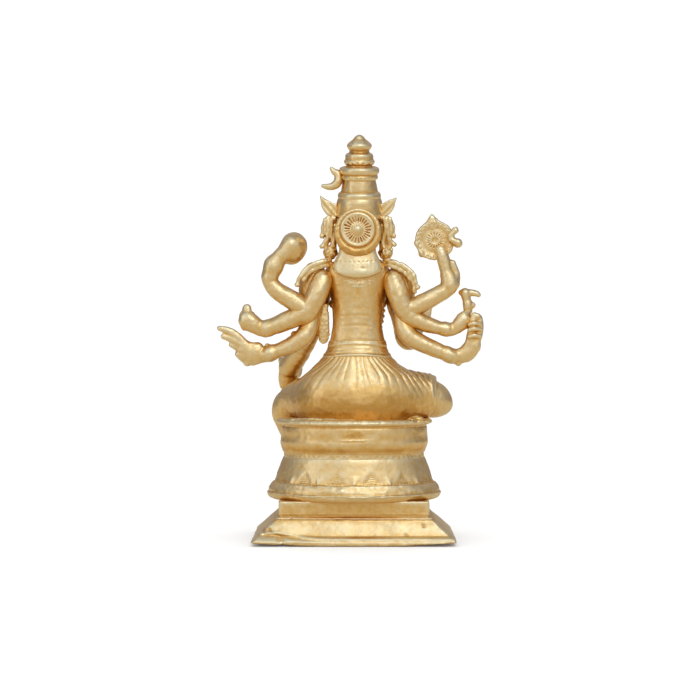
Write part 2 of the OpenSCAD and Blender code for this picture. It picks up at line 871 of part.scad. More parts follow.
module hand_left_front() {
    color("goldenrod") raised() as_mesh() difference() {
        hand(
            [[11.5, -6.8, 32.6, 1, 1], [12, -8, 31.4, 1.1, 0.9], [12.3, -9.4, 30.4, 1.6, 0.7],
             [12.3, -10.8, 30.1, 1.5, 0.6]],
            [
                [[11.3, -10.8, 30.1, 0.5], [10.7, -12.1, 30.5, 0.5], [10.4, -12.9, 31.5, 0.45]],
                [[12.3, -11, 30, 0.5], [12.3, -12.5, 30.3, 0.5], [12.3, -13.3, 31.3, 0.45]],
                [[13.3, -10.8, 30.1, 0.5], [13.9, -12.1, 30.5, 0.5], [14.2, -12.9, 31.5, 0.45]]
            ]
        );
        arm_left_front_shape();
        bowl_shape();
        thigh_left_shape();
    }
}

module hand_right_high() {
    color("goldenrod") raised() as_mesh() difference() {
        hand(
            [[-17.9, 2.1, 49.8, 1, 1.2], [-17.5, 2.2, 51.6, 0.9, 1.5],
             [-16.8, 2.2, 53.2, 0.8, 1.5]],
            [
                [[-17.6, 2.1, 53.4, 0.5], [-17.2, 1.8, 55, 0.5], [-16.6, 1.6, 56.4, 0.45]],
                [[-16.8, 2.1, 53.8, 0.5], [-16.2, 1.9, 55.2, 0.5], [-15.6, 1.7, 56.6, 0.45]],
                [[-15.9, 2.1, 53.4, 0.5], [-15.2, 1.9, 54.6, 0.5], [-14.6, 1.7, 55.6, 0.45]]
            ]
        );
        arm_right_high_shape();
        discus_shape();
    }
}

module hand_right_mid() {
    color("goldenrod") raised() as_mesh() difference() {
        hand(
            [[-18.4, 2, 39.5, 0.9, 1], [-19.6, 2, 40.2, 1.1, 1.3], [-20.6, 2, 41.2, 1, 1.2]],
            [
                [[-21.1, 2.3, 42.1, 0.5], [-22.2, 1.2, 42.5, 0.52], [-21.7, -0.1, 42.6, 0.5]],
                [[-21.2, 2.3, 41, 0.5], [-22.3, 1.2, 41.3, 0.52], [-21.8, -0.2, 41.4, 0.5]],
                [[-20.9, 2.3, 39.9, 0.5], [-22, 1.2, 40.1, 0.52], [-21.5, -0.1, 40.3, 0.5]]
            ]
        );
        arm_right_mid_shape();
        goad_shape();
    }
}

module hand_right_low() {
    color("goldenrod") raised() as_mesh() difference() {
        hand(
            [
                [-18.4, 2, 34.3, 0.9, 1.2], [-20.2, 2.1, 34.6, 0.9, 1.6],
                [-21.6, 2.2, 35.6, 0.8, 1.7], [-22.4, 2.2, 36.8, 0.7, 1.3]
            ],
            [
                [[-22, 2.2, 37.2, 0.55], [-22.4, 2.3, 39.2, 0.5], [-22.3, 2.3, 41.8, 0.45]],
                [[-22.8, 2.2, 37, 0.55], [-23.3, 2.3, 39, 0.5], [-23.1, 2.3, 41.6, 0.45]],
                [[-23.2, 2.2, 36.4, 0.55], [-24, 2.2, 38.2, 0.5], [-24, 2.2, 40.2, 0.45]],
                [[-20.6, 1.6, 36, 0.6], [-21, 1.2, 37.2, 0.5], [-21.2, 1, 38.2, 0.45]]
            ]
        );
        arm_right_low_shape();
        translate([0, 0, -rise]) hand_right_mid();
    }
}

module hand_right_front() {
    color("goldenrod") raised() as_mesh() difference() {
        hand(
            [[-11.9, -6.6, 38.7, 0.8, 0.9], [-12.6, -7.3, 40.4, 0.8, 1.6],
             [-13.1, -7.45, 42, 0.7, 1.65]],
            [
                [[-14.25, -7.5, 42.3, 0.46], [-14.75, -7.5, 43.8, 0.44],
                 [-15.05, -7.5, 44.9, 0.38]],
                [[-13.45, -7.45, 42.6, 0.47], [-13.85, -7.45, 44.2, 0.44],
                 [-14.1, -7.45, 45.5, 0.38]],
                [[-12.65, -7.4, 42.7, 0.46], [-12.95, -7.4, 44.3, 0.43],
                 [-13.15, -7.4, 45.4, 0.37]],
                [[-11.85, -7.35, 42.4, 0.44], [-12, -7.35, 43.8, 0.41], [-12.1, -7.35, 44.8, 0.35]],
                [[-11.5, -7.3, 40.3, 0.5], [-11, -7.8, 41.3, 0.46], [-10.85, -8.2, 42.2, 0.4]]
            ]
        );
        arm_right_front_shape();
    }
}

// ---------------------------------------------------------------- held things

module conch_shape() {
    tube([
        [11.4, 2, 55.4, 1.3], [11.4, 0.9, 55.4, 2.3], [11.4, -0.6, 55.5, 2.5],
        [11.4, -2.2, 55.7, 1.5], [11.4, -3.6, 56, 0.5]
    ], 14, 2, [0, 0, 1]);
}

module conch() {
    color("khaki") raised() conch_shape();
}

module club_shape() {
    tube([
        [19.2, 1.4, 38.2, 0.9], [19.4, 1.3, 39.2, 0.5], [19.6, 1.2, 41, 0.5], [19.8, 1.2, 43, 0.55]
    ], 12);
    translate([19.8, 1.2, 43.6]) sphere(0.75, $fn = 24);
}

module club() {
    color("gold") raised() as_mesh() club_shape();
}

module bowl_shape() {
    translate([12.3, -10.3, 30.5]) cylinder(h = 0.9, r1 = bowl_r * 0.5, r2 = bowl_r * 0.45, $fn = 32);
    translate([12.3, -10.3, 31]) intersection() {
        translate([0, 0, bowl_r]) sphere(bowl_r, $fn = 40);
        translate([-5, -5, 0]) cube([10, 10, bowl_r * 1.25]);
    }
}

module bowl() {
    color("gold") raised() difference() {
        bowl_shape();
        translate([12.3, -10.3, 31 + bowl_r + 0.1]) sphere(bowl_r - 0.45, $fn = 40);
        as_mesh() thigh_left_shape();
    }
}

module discus_shape() {
    translate([-15, 0.6, 56.3]) rotate([-90, 0, 0]) rotate_extrude($fn = 64) polygon([
        [0, 0.5], [1, 0.35], [1.4, 0.1], [2.8, 0.3], [3, 0], [discus_r - 0.2, 0],
        [discus_r, 0.3], [discus_r, 1],
        [discus_r - 0.25, 1.3], [2.95, 1.25], [2.75, 0.95], [1.4, 0.85], [1, 1.1], [0, 1.25]
    ]);
}

module discus() {
    color("gold") raised() discus_shape();
}

// One flame of a given root radius and length, standing out of the discus rim at angle a
module flame(a, root, length) {
    translate([-15, 1.25, 56.3]) rotate([0, a, 0]) translate([0, 0, discus_r - 0.25]) {
        cylinder(h = length, r1 = root, r2 = root * 0.3, $fn = 18);
        translate([0, 0, length]) sphere(root * 0.45, $fn = 18);
    }
}

module discus_flames() {
    color("gold") raised() difference() {
        union() {
            flame(12, 0.95, flame_h * 0.75);
            flame(-52, 0.7, 0.7);
            flame(-92, 0.7, 0.9);
            flame(72, 0.7, 0.8);
            flame(128, 0.7, 0.7);
            translate([-15, 0.75, 56.3]) rotate([-90, 0, 0]) difference() {
                cylinder(h = 1, r = discus_r + 0.25, $fn = 64);
                translate([0, 0, -1]) cylinder(h = 3, r = discus_r - 0.1, $fn = 64);
            }
        }
        discus_shape();
    }
}

module goad_shape() {
    tube([
        [-20.6, 0.8, 38.6, 0.45], [-20.9, 1, 41.6, 0.45], [-21, 1.2, 44.6, 0.5],
        [-21, 1.2, 46.2, 0.75]
    ], 12);
    tube([[-21, 1.2, 45.4, 0.5], [-22, 1.2, 45.9, 0.5], [-23.4, 1.2, 45.8, 0.35]], 8);
}

module goad() {
    color("gold") raised() as_mesh() goad_shape();
}

plinth();
dado();
lotus_foot();
lotus();
waist_beads();
seat_drum();
seat_rim();
footrest();
skirt();
belt();
front_sash();
thigh_right();
shin_right();
thigh_left();
shin_left();
torso();
breast_band();
necklace();
garland();
head();
hair_fan();
nape_band();
halo_ring();
halo_disc();
ear_ornament_left();
ear_ornament_right();
leaf_left();
leaf_right();
tassel_left();
tassel_right();
crown_body();
crown_ring();
crown_tier_mid();
crown_tier_top();
crown_crescent();
crown_crest();
arm_left_high();
arm_left_mid();
arm_left_low();
arm_left_front();
arm_right_high();
arm_right_mid();
arm_right_low();
arm_right_front();
hand_left_high();
hand_left_mid();
hand_left_low();
hand_left_front();
hand_right_high();
hand_right_mid();
hand_right_low();
hand_right_front();
conch();
club();
bowl();
discus();
discus_flames();
goad();
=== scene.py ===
"""Seated eight-armed idol in satin brass: one block of distance samples per piece, meshed on the frame."""

import math

import bpy
import numpy as np
import openvdb
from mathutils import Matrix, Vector


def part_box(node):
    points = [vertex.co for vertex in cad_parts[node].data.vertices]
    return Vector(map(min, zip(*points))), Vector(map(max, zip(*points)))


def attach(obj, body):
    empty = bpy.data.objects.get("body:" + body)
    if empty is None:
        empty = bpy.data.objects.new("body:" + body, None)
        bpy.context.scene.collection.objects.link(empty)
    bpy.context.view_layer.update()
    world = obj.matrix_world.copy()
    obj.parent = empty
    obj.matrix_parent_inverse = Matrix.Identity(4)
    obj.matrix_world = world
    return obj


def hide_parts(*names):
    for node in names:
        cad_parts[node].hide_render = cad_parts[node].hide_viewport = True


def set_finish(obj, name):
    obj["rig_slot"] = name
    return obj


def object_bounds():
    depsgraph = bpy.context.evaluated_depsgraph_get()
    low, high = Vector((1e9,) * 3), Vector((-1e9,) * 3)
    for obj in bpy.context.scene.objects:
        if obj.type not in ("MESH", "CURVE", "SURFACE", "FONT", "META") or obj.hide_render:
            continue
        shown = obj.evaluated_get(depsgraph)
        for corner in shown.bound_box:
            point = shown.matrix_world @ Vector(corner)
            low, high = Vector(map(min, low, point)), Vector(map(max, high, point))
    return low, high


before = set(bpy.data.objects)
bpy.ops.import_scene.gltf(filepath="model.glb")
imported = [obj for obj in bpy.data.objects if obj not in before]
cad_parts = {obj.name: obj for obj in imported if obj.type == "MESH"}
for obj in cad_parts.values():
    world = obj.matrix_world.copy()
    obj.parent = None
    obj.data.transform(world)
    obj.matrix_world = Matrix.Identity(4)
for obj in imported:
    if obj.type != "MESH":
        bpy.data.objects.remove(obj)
cad_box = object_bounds()

# Shapes are written in the millimetres of the nominal statue, 76 mm tall, and follow the frame's size.
NOMINAL_HEIGHT = 76.0
MM = (cad_box[1].z - cad_box[0].z) / NOMINAL_HEIGHT
# An empty block is this far from any surface; a meshed one is cut off at the shorter distance.
FAR = 6.0
LIMIT = 1.2
# Spare samples round a block of clay, and round the part of it that a shape changes.
MARGIN = 4
WINDOW_MARGIN = 3


def node_box(name):
    """Lowest and highest corner of a CAD node in nominal millimetres."""
    lo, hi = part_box(name)
    return np.array(lo) / MM, np.array(hi) / MM


# ---- fields

def bell(x, width):
    """1 on a line, falling away to either side of it."""
    return np.exp(-(x / width) ** 2)


def unit(v):
    v = np.asarray(v, float)
    return v / max(np.linalg.norm(v), 1e-9)


def smooth_path(stations, steps):
    """Catmull-Rom through the stations, with `steps` points for each stretch."""
    p = np.array([list(s) + [s[3]] * (5 - len(s)) if len(s) < 5 else s for s in stations], float)
    out = []
    for i in range(len(p) - 1):
        a, b, c, d = p[max(i - 1, 0)], p[i], p[i + 1], p[min(i + 2, len(p) - 1)]
        for k in range(steps):
            t = k / steps
            out.append(0.5 * (2 * b + (c - a) * t + (2 * a - 5 * b + 4 * c - d) * t * t
                              + (3 * b - a - 3 * c + d) * t ** 3))
    out.append(p[-1])
    return np.array(out)


def smooth_curve(points, x):
    """A smooth function through (x, value) points, by the same rule."""
    path = smooth_path([(a, b, 0, 0, 0) for a, b in points], 8)
    return np.interp(x, path[:, 0], path[:, 1]).astype(np.float32)


def limb(stations, up=(0, 1, 0), steps=4):
    """A rounded limb through [x, y, z, r] or [x, y, z, r along up, r across]."""
    s = smooth_path(stations, steps)
    up = unit(up)
    reach = s[:, 3:].max(axis=1, keepdims=True)

    def field(x, y, z):
        best = None
        for a, b in zip(s[:-1], s[1:]):
            ax = b[:3] - a[:3]
            px, py, pz = x - a[0], y - a[1], z - a[2]
            t = np.clip((px * ax[0] + py * ax[1] + pz * ax[2]) / max(ax @ ax, 1e-9), 0, 1)
            qx, qy, qz = px - t * ax[0], py - t * ax[1], pz - t * ax[2]
            q2 = qx * qx + qy * qy + qz * qz
            ru, rw = a[3] + t * (b[3] - a[3]), a[4] + t * (b[4] - a[4])
            qu = qx * up[0] + qy * up[1] + qz * up[2]
            e = np.sqrt(qu * qu / (ru * ru) + np.maximum(q2 - qu * qu, 0) / (rw * rw))
            dist = (e - 1) * np.minimum(ru, rw)
            best = dist if best is None else np.minimum(best, dist)
        return best

    return field, (s[:, :3] - reach).min(axis=0), (s[:, :3] + reach).max(axis=0)


def ball(c, r):
    """A ball, or an ellipsoid when r holds three radii."""
    r = np.ones(3) * r

    def field(x, y, z):
        e = np.sqrt(((x - c[0]) / r[0]) ** 2 + ((y - c[1]) / r[1]) ** 2 + ((z - c[2]) / r[2]) ** 2)
        return (e - 1) * r.min()

    return field, np.array(c) - r, np.array(c) + r


def stack(profile, centre=(0, 0), ratio=1.0, relief=None, lean=None, smooth=True):
    """An upright turned or oval body from [z, radius] points; relief(angle, z) adds to the radius.

    lean is (height, centre y, degrees): the body leans back about that line.
    """
    zs = [p[0] for p in profile]
    widest = max(p[1] for p in profile) + 0.6

    def field(x, y, z):
        if lean:
            turn = math.radians(lean[2])
            dy, dz = y - lean[1], z - lean[0]
            y = lean[1] + dy * math.cos(turn) - dz * math.sin(turn)
            z = lean[0] + dz * math.cos(turn) + dy * math.sin(turn)
        u, v = x - centre[0], (y - centre[1]) / ratio
        rho = np.sqrt(u * u + v * v) + 1e-6
        if smooth:
            r = smooth_curve(profile, z)
        else:
            r = np.interp(z, zs, [p[1] for p in profile])
        if relief is not None:
            r = r + relief(np.arctan2(v, u), z)
        steep = np.sqrt(u * u + (v / ratio) ** 2) / rho
        return np.maximum((rho - r) / steep * 0.85, np.maximum(zs[0] - z, z - zs[-1]))

    pad = 0.16 * (zs[-1] - zs[0]) if lean else 0
    lo = np.array([centre[0] - widest, centre[1] - widest * ratio - pad, zs[0] - pad])
    hi = np.array([centre[0] + widest, centre[1] + widest * ratio + pad + 2 * bool(lean), zs[-1] + pad])
    return field, lo, hi


def disc(c, profile, relief=None):
    """A dished disc facing +Y at centre c, from [radius, back y, front y] points."""
    rs = [p[0] for p in profile]

    def field(x, y, z):
        u, w = x - c[0], z - c[2]
        rho = np.sqrt(u * u + w * w)
        back = np.interp(rho, rs, [p[1] for p in profile])
        front = np.interp(rho, rs, [p[2] for p in profile])
        if relief is not None:
            back = back + relief(rho, np.arctan2(w, u))
        v = y - c[1]
        return np.maximum(np.maximum(v - back, front - v), rho - rs[-1])

    reach = rs[-1] + 0.3
    top, low = max(p[1] for p in profile) + 0.3, min(p[2] for p in profile) - 0.3
    return field, np.array([c[0] - reach, c[1] + low, c[2] - reach]), \
        np.array([c[0] + reach, c[1] + top, c[2] + reach])


def plate(outline, y0, y1, round_by=0.15):
    """A flat plate between y0 and y1 with a convex-cornered polygon outline in X and Z."""
    pts = np.array(outline, float)

    def field(x, y, z):
        best, inside = None, None
        for a, b in zip(pts, np.roll(pts, -1, axis=0)):
            e = b - a
            wx, wz = x - a[0], z - a[1]
            t = np.clip((wx * e[0] + wz * e[1]) / (e @ e), 0, 1)
            d = (wx - t * e[0]) ** 2 + (wz - t * e[1]) ** 2
            best = d if best is None else np.minimum(best, d)
            c1, c2, c3 = z >= a[1], z < b[1], e[0] * wz > e[1] * wx
            flip = (c1 & c2 & c3) | (~c1 & ~c2 & ~c3)
            inside = flip if inside is None else inside ^ flip
        flat = np.where(inside, -1.0, 1.0) * np.sqrt(best) + round_by
        thick = np.abs(y - (y0 + y1) / 2) - (y1 - y0) / 2 + round_by
        return np.minimum(np.maximum(flat, thick), 0) \
            + np.sqrt(np.maximum(flat, 0) ** 2 + np.maximum(thick, 0) ** 2) - round_by

    lo, hi = pts.min(axis=0), pts.max(axis=0)
    return field, np.array([lo[0], y0, lo[1]]), np.array([hi[0], y1, hi[1]])


def smooth_min(a, b, k):
    """The lesser of two distances, blended over a seam k wide."""
    if k <= 0:
        return np.minimum(a, b)
    h = np.maximum(k - np.abs(a - b), 0) / k
    return np.minimum(a, b) - h * h * k * 0.25


class Noise:
    """Smooth random values on a lattice, the same on every run."""

    def __init__(self, seed, size=48):
        self.size = size
        self.v = np.random.RandomState(seed).uniform(-1, 1, (size,) * 3).astype(np.float32)

    def __call__(self, p, grain):
        q = np.asarray(p, np.float32) / grain
        i = np.floor(q).astype(int)
        f = q - i
        f = f * f * (3 - 2 * f)
        i %= self.size
        j = (i + 1) % self.size
        v, out = self.v, 0
        for corner in np.ndindex(2, 2, 2):
            w = [f[:, k] if far else 1 - f[:, k] for k, far in enumerate(corner)]
            at = tuple((j if far else i)[:, k] for k, far in enumerate(corner))
            out = out + w[0] * w[1] * w[2] * v[at]
        return out


cast = Noise(3)
drift = Noise(11)


class Clay:
    """A block of distance samples that shapes are added to and cut from."""

    def __init__(self, lo, hi, step):
        self.step = step
        self.lo = np.asarray(lo, float) - MARGIN * step
        count = np.ceil((np.asarray(hi, float) + MARGIN * step - self.lo) / step).astype(int) + 1
        self.axes = [(self.lo[i] + step * np.arange(count[i])).astype(np.float32) for i in range(3)]
        self.d = np.full(tuple(count), FAR, np.float32)

    def window(self, lo, hi, pad):
        """The index and the coordinates of the samples between two corners."""
        spans = []
        for i in range(3):
            a = np.searchsorted(self.axes[i], lo[i] - pad)
            b = np.searchsorted(self.axes[i], hi[i] + pad)
            spans.append(slice(max(int(a) - 1, 0), int(b) + 1))
        x, y, z = (self.axes[i][spans[i]] for i in range(3))
        return tuple(spans), x[:, None, None], y[None, :, None], z[None, None, :]

    def add(self, shape, blend=0.0):
        field, lo, hi = shape
        w, x, y, z = self.window(lo, hi, max(blend, 1.5) + WINDOW_MARGIN * self.step)
        self.d[w] = smooth_min(self.d[w], field(x, y, z).astype(np.float32), blend)
        return self

    def cut(self, shape, blend=0.0):
        field, lo, hi = shape
        w, x, y, z = self.window(lo, hi, blend + WINDOW_MARGIN * self.step)
        self.d[w] = -smooth_min(-self.d[w], field(x, y, z).astype(np.float32), blend)
        return self

    def near(self, reach):
        """The index and the points of the samples near the surface."""
        index = np.nonzero(np.abs(self.d) < reach)
        return index, np.stack([self.axes[i][index[i]] for i in range(3)], axis=1)

    def push(self, amount, reach=1.0):
        """Move the surface outwards by amount(points) millimetres."""
        index, p = self.near(reach)
        self.d[index] -= amount(p).astype(np.float32)
        return self

    def cast_skin(self, rough=0.05):
        """The slightly uneven skin that a small lost-wax casting has."""
        return self.push(lambda p: rough * (0.9 * drift(p, 2.3) + 0.7 * cast(p, 0.85)
                                            + 0.35 * cast(p, 0.4)), 0.8)


def box_blur(a, n):
    """Mean over 2n + 1 samples along each axis."""
    for axis in range(3):
        pad = [(0, 0)] * 3
        pad[axis] = (n + 1, n)
        c = np.cumsum(np.pad(a, pad, mode="edge"), axis=axis, dtype=np.float64)
        hi = [slice(None)] * 3
        lo = [slice(None)] * 3
        hi[axis], lo[axis] = slice(2 * n + 1, None), slice(None, -2 * n - 1)
        a = ((c[tuple(hi)] - c[tuple(lo)]) / (2 * n + 1)).astype(np.float32)
    return a


pieces = {}
# How much the bumps and hollows of each size, in millimetres, count towards painted highlight on bumps and
# painted shade in hollows.
SHEEN_AND_SHADE_SIZES = (0.3, 5.0), (0.9, 1.6)


def cast_piece(node, clay, slot, rough=0.05, tone=None, nodes=None):
    """Mesh a block of clay, store the painted highlight on each point's bumps and the painted shade in its
    hollows, and put it on the frame.

    The piece stands for the CAD node it is named after, or for the nodes listed.
    """
    name = node + "_piece"
    nodes = nodes or [node]
    if rough:
        clay.cast_skin(rough)
    soft = np.clip(clay.d, -LIMIT, LIMIT)
    grid = openvdb.FloatGrid(LIMIT)
    grid.copyFromArray(np.ascontiguousarray(soft))
    points, _, quads = grid.convertToPolygons(0.0, 0.0)
    at = np.clip(np.rint(points).astype(int), 0, np.array(clay.d.shape) - 1)
    # Painted highlight on bumps and painted shade in hollows, from how far each point stands out or sinks in,
    # plus what tone adds.
    sheen_and_shade = 0
    for reach, weight in SHEEN_AND_SHADE_SIZES:
        hollow = box_blur(soft, max(1, round(reach / clay.step))) - soft
        sheen_and_shade = sheen_and_shade + weight * hollow[tuple(at.T)]
    places = points * clay.step + clay.lo
    if tone is not None:
        sheen_and_shade = sheen_and_shade + tone(places)
    mesh = bpy.data.meshes.new(name)
    mesh.vertices.add(len(points))
    mesh.vertices.foreach_set("co", (places * MM).astype(np.float32).ravel())
    mesh.loops.add(4 * len(quads))
    mesh.loops.foreach_set("vertex_index", quads[:, ::-1].astype(np.int32).ravel())
    mesh.polygons.add(len(quads))
    mesh.polygons.foreach_set("loop_start", np.arange(len(quads), dtype=np.int32) * 4)
    mesh.polygons.foreach_set("use_smooth", np.ones(len(quads), bool))
    mesh.update(calc_edges=True)
    mesh.validate()
    painted_sheen_shade = mesh.attributes.new("sheen_and_shade", "FLOAT", "POINT")
    painted_sheen_shade.data.foreach_set("value", np.clip(sheen_and_shade, -1, 1).astype(np.float32))
    piece = bpy.data.objects.new(name, mesh)
    bpy.context.collection.objects.link(piece)
    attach(piece, "root")
    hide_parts(*nodes)
    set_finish(piece, slot)
    pieces[name] = piece
    return piece


def block(step, *shapes):
    """An empty block of clay round the given shapes."""
    lo = np.min([s[1] for s in shapes], axis=0)
    hi = np.max([s[2] for s in shapes], axis=0)
    return Clay(lo - 0.4, hi + 0.4, step)


def as_shapes(items):
    """The same shapes, where a plain list of stations stands for a limb."""
    return [limb(item) if isinstance(item, list) else item for item in items]


def build(step, items, blend=0.3):
    """A block of clay with all the shapes added to it."""
    shapes = as_shapes(items)
    clay = block(step, *shapes)
    for s in shapes:
        clay.add(s, blend)
    return clay


# ---- pedestal

_, plinth_hi = node_box("plinth")
dado_lo, dado_hi = node_box("dado")
foot_lo, foot_hi = node_box("lotus_foot")
lotus_lo, lotus_hi = node_box("lotus")
drum_lo, drum_hi = node_box("seat_drum")
rim_lo, rim_hi = node_box("seat_rim")
SEAT = rim_hi[2]
OVAL = (rim_hi[1] - rim_lo[1]) / (rim_hi[0] - rim_lo[0])
PETALS = 14


def half_space(axis, level, below):
    """Everything below (or above) a level on one axis."""
    sign = 1 if below else -1

    def field(*p):
        return sign * (p[axis] - level) + 0 * (p[0] + p[1] + p[2])

    return field, np.full(3, -99.0), np.full(3, 99.0)


def mitred(profile_x, profile_y, floor=None, soft=0.3):
    """Four flat-sided mouldings that meet at mitred corners, from [z, half width] points."""
    z0, z1 = profile_x[0][0], profile_x[-1][0]

    def field(x, y, z):
        dx = (np.abs(x) - np.interp(z, *zip(*profile_x))) * 0.8
        dy = (np.abs(y) - np.interp(z, *zip(*profile_y))) * 0.8
        sides = -smooth_min(-dx, -dy, soft)
        low = z0 if floor is None else floor(x, y)
        return -smooth_min(-sides, -np.maximum(low - z, z - z1), 0.22)

    wide, deep = max(p[1] for p in profile_x), max(p[1] for p in profile_y)
    return field, np.array([-wide, -deep, z0]), np.array([wide, deep, z1])


def rings(z, r, *steps):
    """[z, radius] points at (rise, growth) steps from one level and radius."""
    return [(z + rise, r + growth) for rise, growth in steps]


def plinth_sides(half, top_half):
    edge = 0.9
    return [(0, half - 0.12), *rings(edge, half, (0, -0.15), (0.35, -0.45), (0.9, -1.1)),
            *rings(plinth_hi[2], top_half, (-0.35, 1.0), (0, 0.75))]


dado_x, dado_y = (dado_hi[0] - 0.8), (dado_hi[1] - 0.8)
plinth = build(0.16, [mitred(
    plinth_sides(plinth_hi[0] + 0.35, dado_x), plinth_sides(plinth_hi[1], dado_y),
    floor=lambda x, y: 0.6 * np.clip((np.abs(x) - 5) / 13, 0, 1) ** 1.6 + 0 * y, soft=0.6)])


def plinth_wear(p):
    x, y, z = p.T
    slope = np.clip((z - 1.2) / 1.2, 0, 1) * np.clip((4.5 - z) / 0.8, 0, 1)
    brush = 0.07 * np.sin(x * 0.55 + 2.5 * drift(p * [1, 1, 0.4], 5.0)) * slope
    ridge_z = 1.35 + 1.1 * np.clip((x - 3) / 11, 0, 1) ** 2
    at_back = np.clip((y - 7.0) / 2.0, 0, 1)
    ridge = 0.11 * bell(z - ridge_z, 0.26) * at_back
    groove = -0.10 * bell(z - ridge_z + 0.42, 0.2) * at_back
    dents = 0
    for cx, cz, r, deep in ((16.6, 2.7, 0.4, 0.4), (15.5, 2.9, 0.35, 0.35), (13.4, 1.2, 0.55, 0.35),
                            (-12.7, 3.6, 0.25, 0.2), (-9.6, 1.9, 0.25, 0.12)):
        u, w = (x - cx) * 0.8 + (z - cz) * 0.6, (z - cz) * 0.8 - (x - cx) * 0.6
        dents = dents - deep * np.exp(-(0.4 * u * u + w * w) / r ** 2) * at_back
    return brush + ridge + groove + dents + 0.05 * drift(p, 4.0)


plinth.push(plinth_wear, 1.2)
plinth.cut(half_space(2, 0.06, below=True))
# Painted shade along the plinth's top, under the dado; the rest of it a little paler.
cast_piece("plinth", plinth, "pedestal_brass", 0.035,
           lambda p: 0.12 - 0.95 * bell(p[:, 2] - plinth_hi[2], 0.55))



def dado_sides(half):
    return [*rings(dado_lo[2], half, (-0.1, 0.75), (0.25, 0.45), (0.6, 0.16), (1.0, 0)),
            (dado_hi[2] + 0.2, half)]


dado = build(0.16, [mitred(dado_sides(dado_x), dado_sides(dado_y))])
dado.push(lambda p: 0.05 * drift(p, 3.0) - 0.22 * bell(p[:, 2] - dado_lo[2] - 0.45, 0.22), 0.8)
# Painted shade in the cove along the dado's foot.
cast_piece("dado", dado, "pedestal_brass", 0.035,
           lambda p: -0.85 * bell(p[:, 2] - dado_lo[2] - 0.4, 0.5))

foot_r = foot_hi[0] - 0.25
foot = build(0.15, [stack([
    *rings(foot_lo[2], foot_r, (0, -0.85), (0.2, -0.3), (0.6, 0.12), (1.0, 0.24), (1.3, 0.2), (1.45, -0.02),
           (1.6, 0.03), (2.1, -0.1), (2.6, -0.4)), (foot_hi[2] + 0.1, foot_r - 0.8)], ratio=OVAL)])


def foot_wear(p):
    z = p[:, 2] - foot_lo[2]
    dents = (0.09 * drift(p * [0.7, 0.7, 2], 2.0) + 0.07 * cast(p, 0.8)) * (p[:, 2] > foot_lo[2] + 0.9)
    return dents + 0.12 * bell(z - 1.2 - 0.15 * drift(p * [1, 1, 0], 1.7), 0.13)


foot.push(foot_wear, 0.8)
cast_piece("lotus_foot", foot, "lotus_brass")

LOTUS_H = lotus_hi[2] - lotus_lo[2]


def petal_relief(angle, z):
    """Petals pointing down: a raised ridge at each tip, with hatched triangular hollows between."""
    turn = (angle - math.pi / 2) * PETALS / (2 * math.pi)
    f = np.abs(turn - np.round(turn)) * 2
    t = np.clip((lotus_hi[2] - z) / LOTUS_H, 0, 1)
    width = np.clip(1.0 - 1.15 * np.clip(t - 0.42, 0, 1) ** 0.8, 0.2, 1)
    hollow = np.clip((f - width) / 0.3, 0, 1) * np.clip((t - 0.42) * 6, 0, 1) * np.clip((1 - t) * 14, 0, 1)
    lean = np.where(turn > np.round(turn), 1.0, -1.0) * (np.round(turn) % 2 - 0.5)
    hatch = 0.065 * np.cos(z * 17 + 12 * lean * f) * hollow
    ridge = bell(f, 0.14 + 0.22 * (1 - t))
    tip = 0.34 * ridge * np.clip((t - 0.58) / 0.34, 0, 1) * np.clip((1.01 - t) * 9, 0, 1)
    grains = 0.14 * np.abs(np.cos(angle * 62)) * bell(t - 0.95, 0.03)
    return tip + hatch + grains - 0.2 * hollow


lotus_r = lotus_hi[0] - 0.55
lotus = build(0.13, [stack([
    *rings(lotus_lo[2], lotus_r, (-0.1, 0.2), (0.3, 0.12), (0.9, -0.1), (1.7, -0.38), (2.5, -0.7),
           (3.3, -1.0),
           (4.3, -1.35)), (lotus_hi[2] + 0.1, lotus_r - 1.65)], ratio=OVAL, relief=petal_relief)])
lotus.push(lambda p: 0.05 * drift(p * [1, 1, 0.35], 1.6), 0.8)
# Painted shade round the lotus's foot; the rest of it a little paler.
cast_piece("lotus", lotus, "lotus_brass", 0.03,
           lambda p: 0.08 - 0.9 * bell(p[:, 2] - lotus_lo[2], 0.6))

beads_lo, beads_hi = node_box("waist_beads")
beads_r = lotus_r - 1.68
beads = build(0.13, [stack(
    [*rings(beads_lo[2], beads_r, (-0.1, 0.05), (0.2, 0.02), (0.6, 0)), (beads_hi[2] + 0.2, beads_r + 0.05)],
    ratio=OVAL, relief=lambda a, z: 0.14 * (np.abs(np.cos(34 * a)) - 0.6)
    * bell(z - beads_lo[2] - 0.4, 0.22))])
cast_piece("waist_beads", beads, "ornament_brass", 0.06)

drum_r = rim_hi[0] - 0.9
drum = build(0.14, [stack([
    *rings(drum_lo[2], drum_r, (-0.15, -0.36), (0.3, -0.24), (0.8, -0.06), (1.3, 0.08), (1.8, 0.14),
           (2.3, 0.06),
           (3.0, 0), (3.8, 0)), *rings(drum_hi[2], drum_r, (-0.5, -0.02), (0.2, 0.15))], ratio=OVAL)])


def scar(p):
    """Where the drum's back has an old rough spot."""
    return np.exp(-((p[:, 0] - 0.1) / 1.7) ** 4 - ((p[:, 2] - drum_hi[2] + 1.5) / 0.62) ** 4) * (p[:, 1] > 0)


def drum_wear(p):
    x, y, z = p.T
    lip = bell(z - drum_hi[2] + 2.55 + 0.02 * x, 0.12) * np.exp(-((x - 0.1) / 2.4) ** 4) * (y > 0)
    groove = -0.16 * bell(z - drum_hi[2] + 0.25, 0.2)
    return 0.09 * scar(p) * (cast(p, 0.42) - 0.6) + 0.12 * lip + groove + 0.05 * drift(p * [1, 1, 2.5], 3.0)


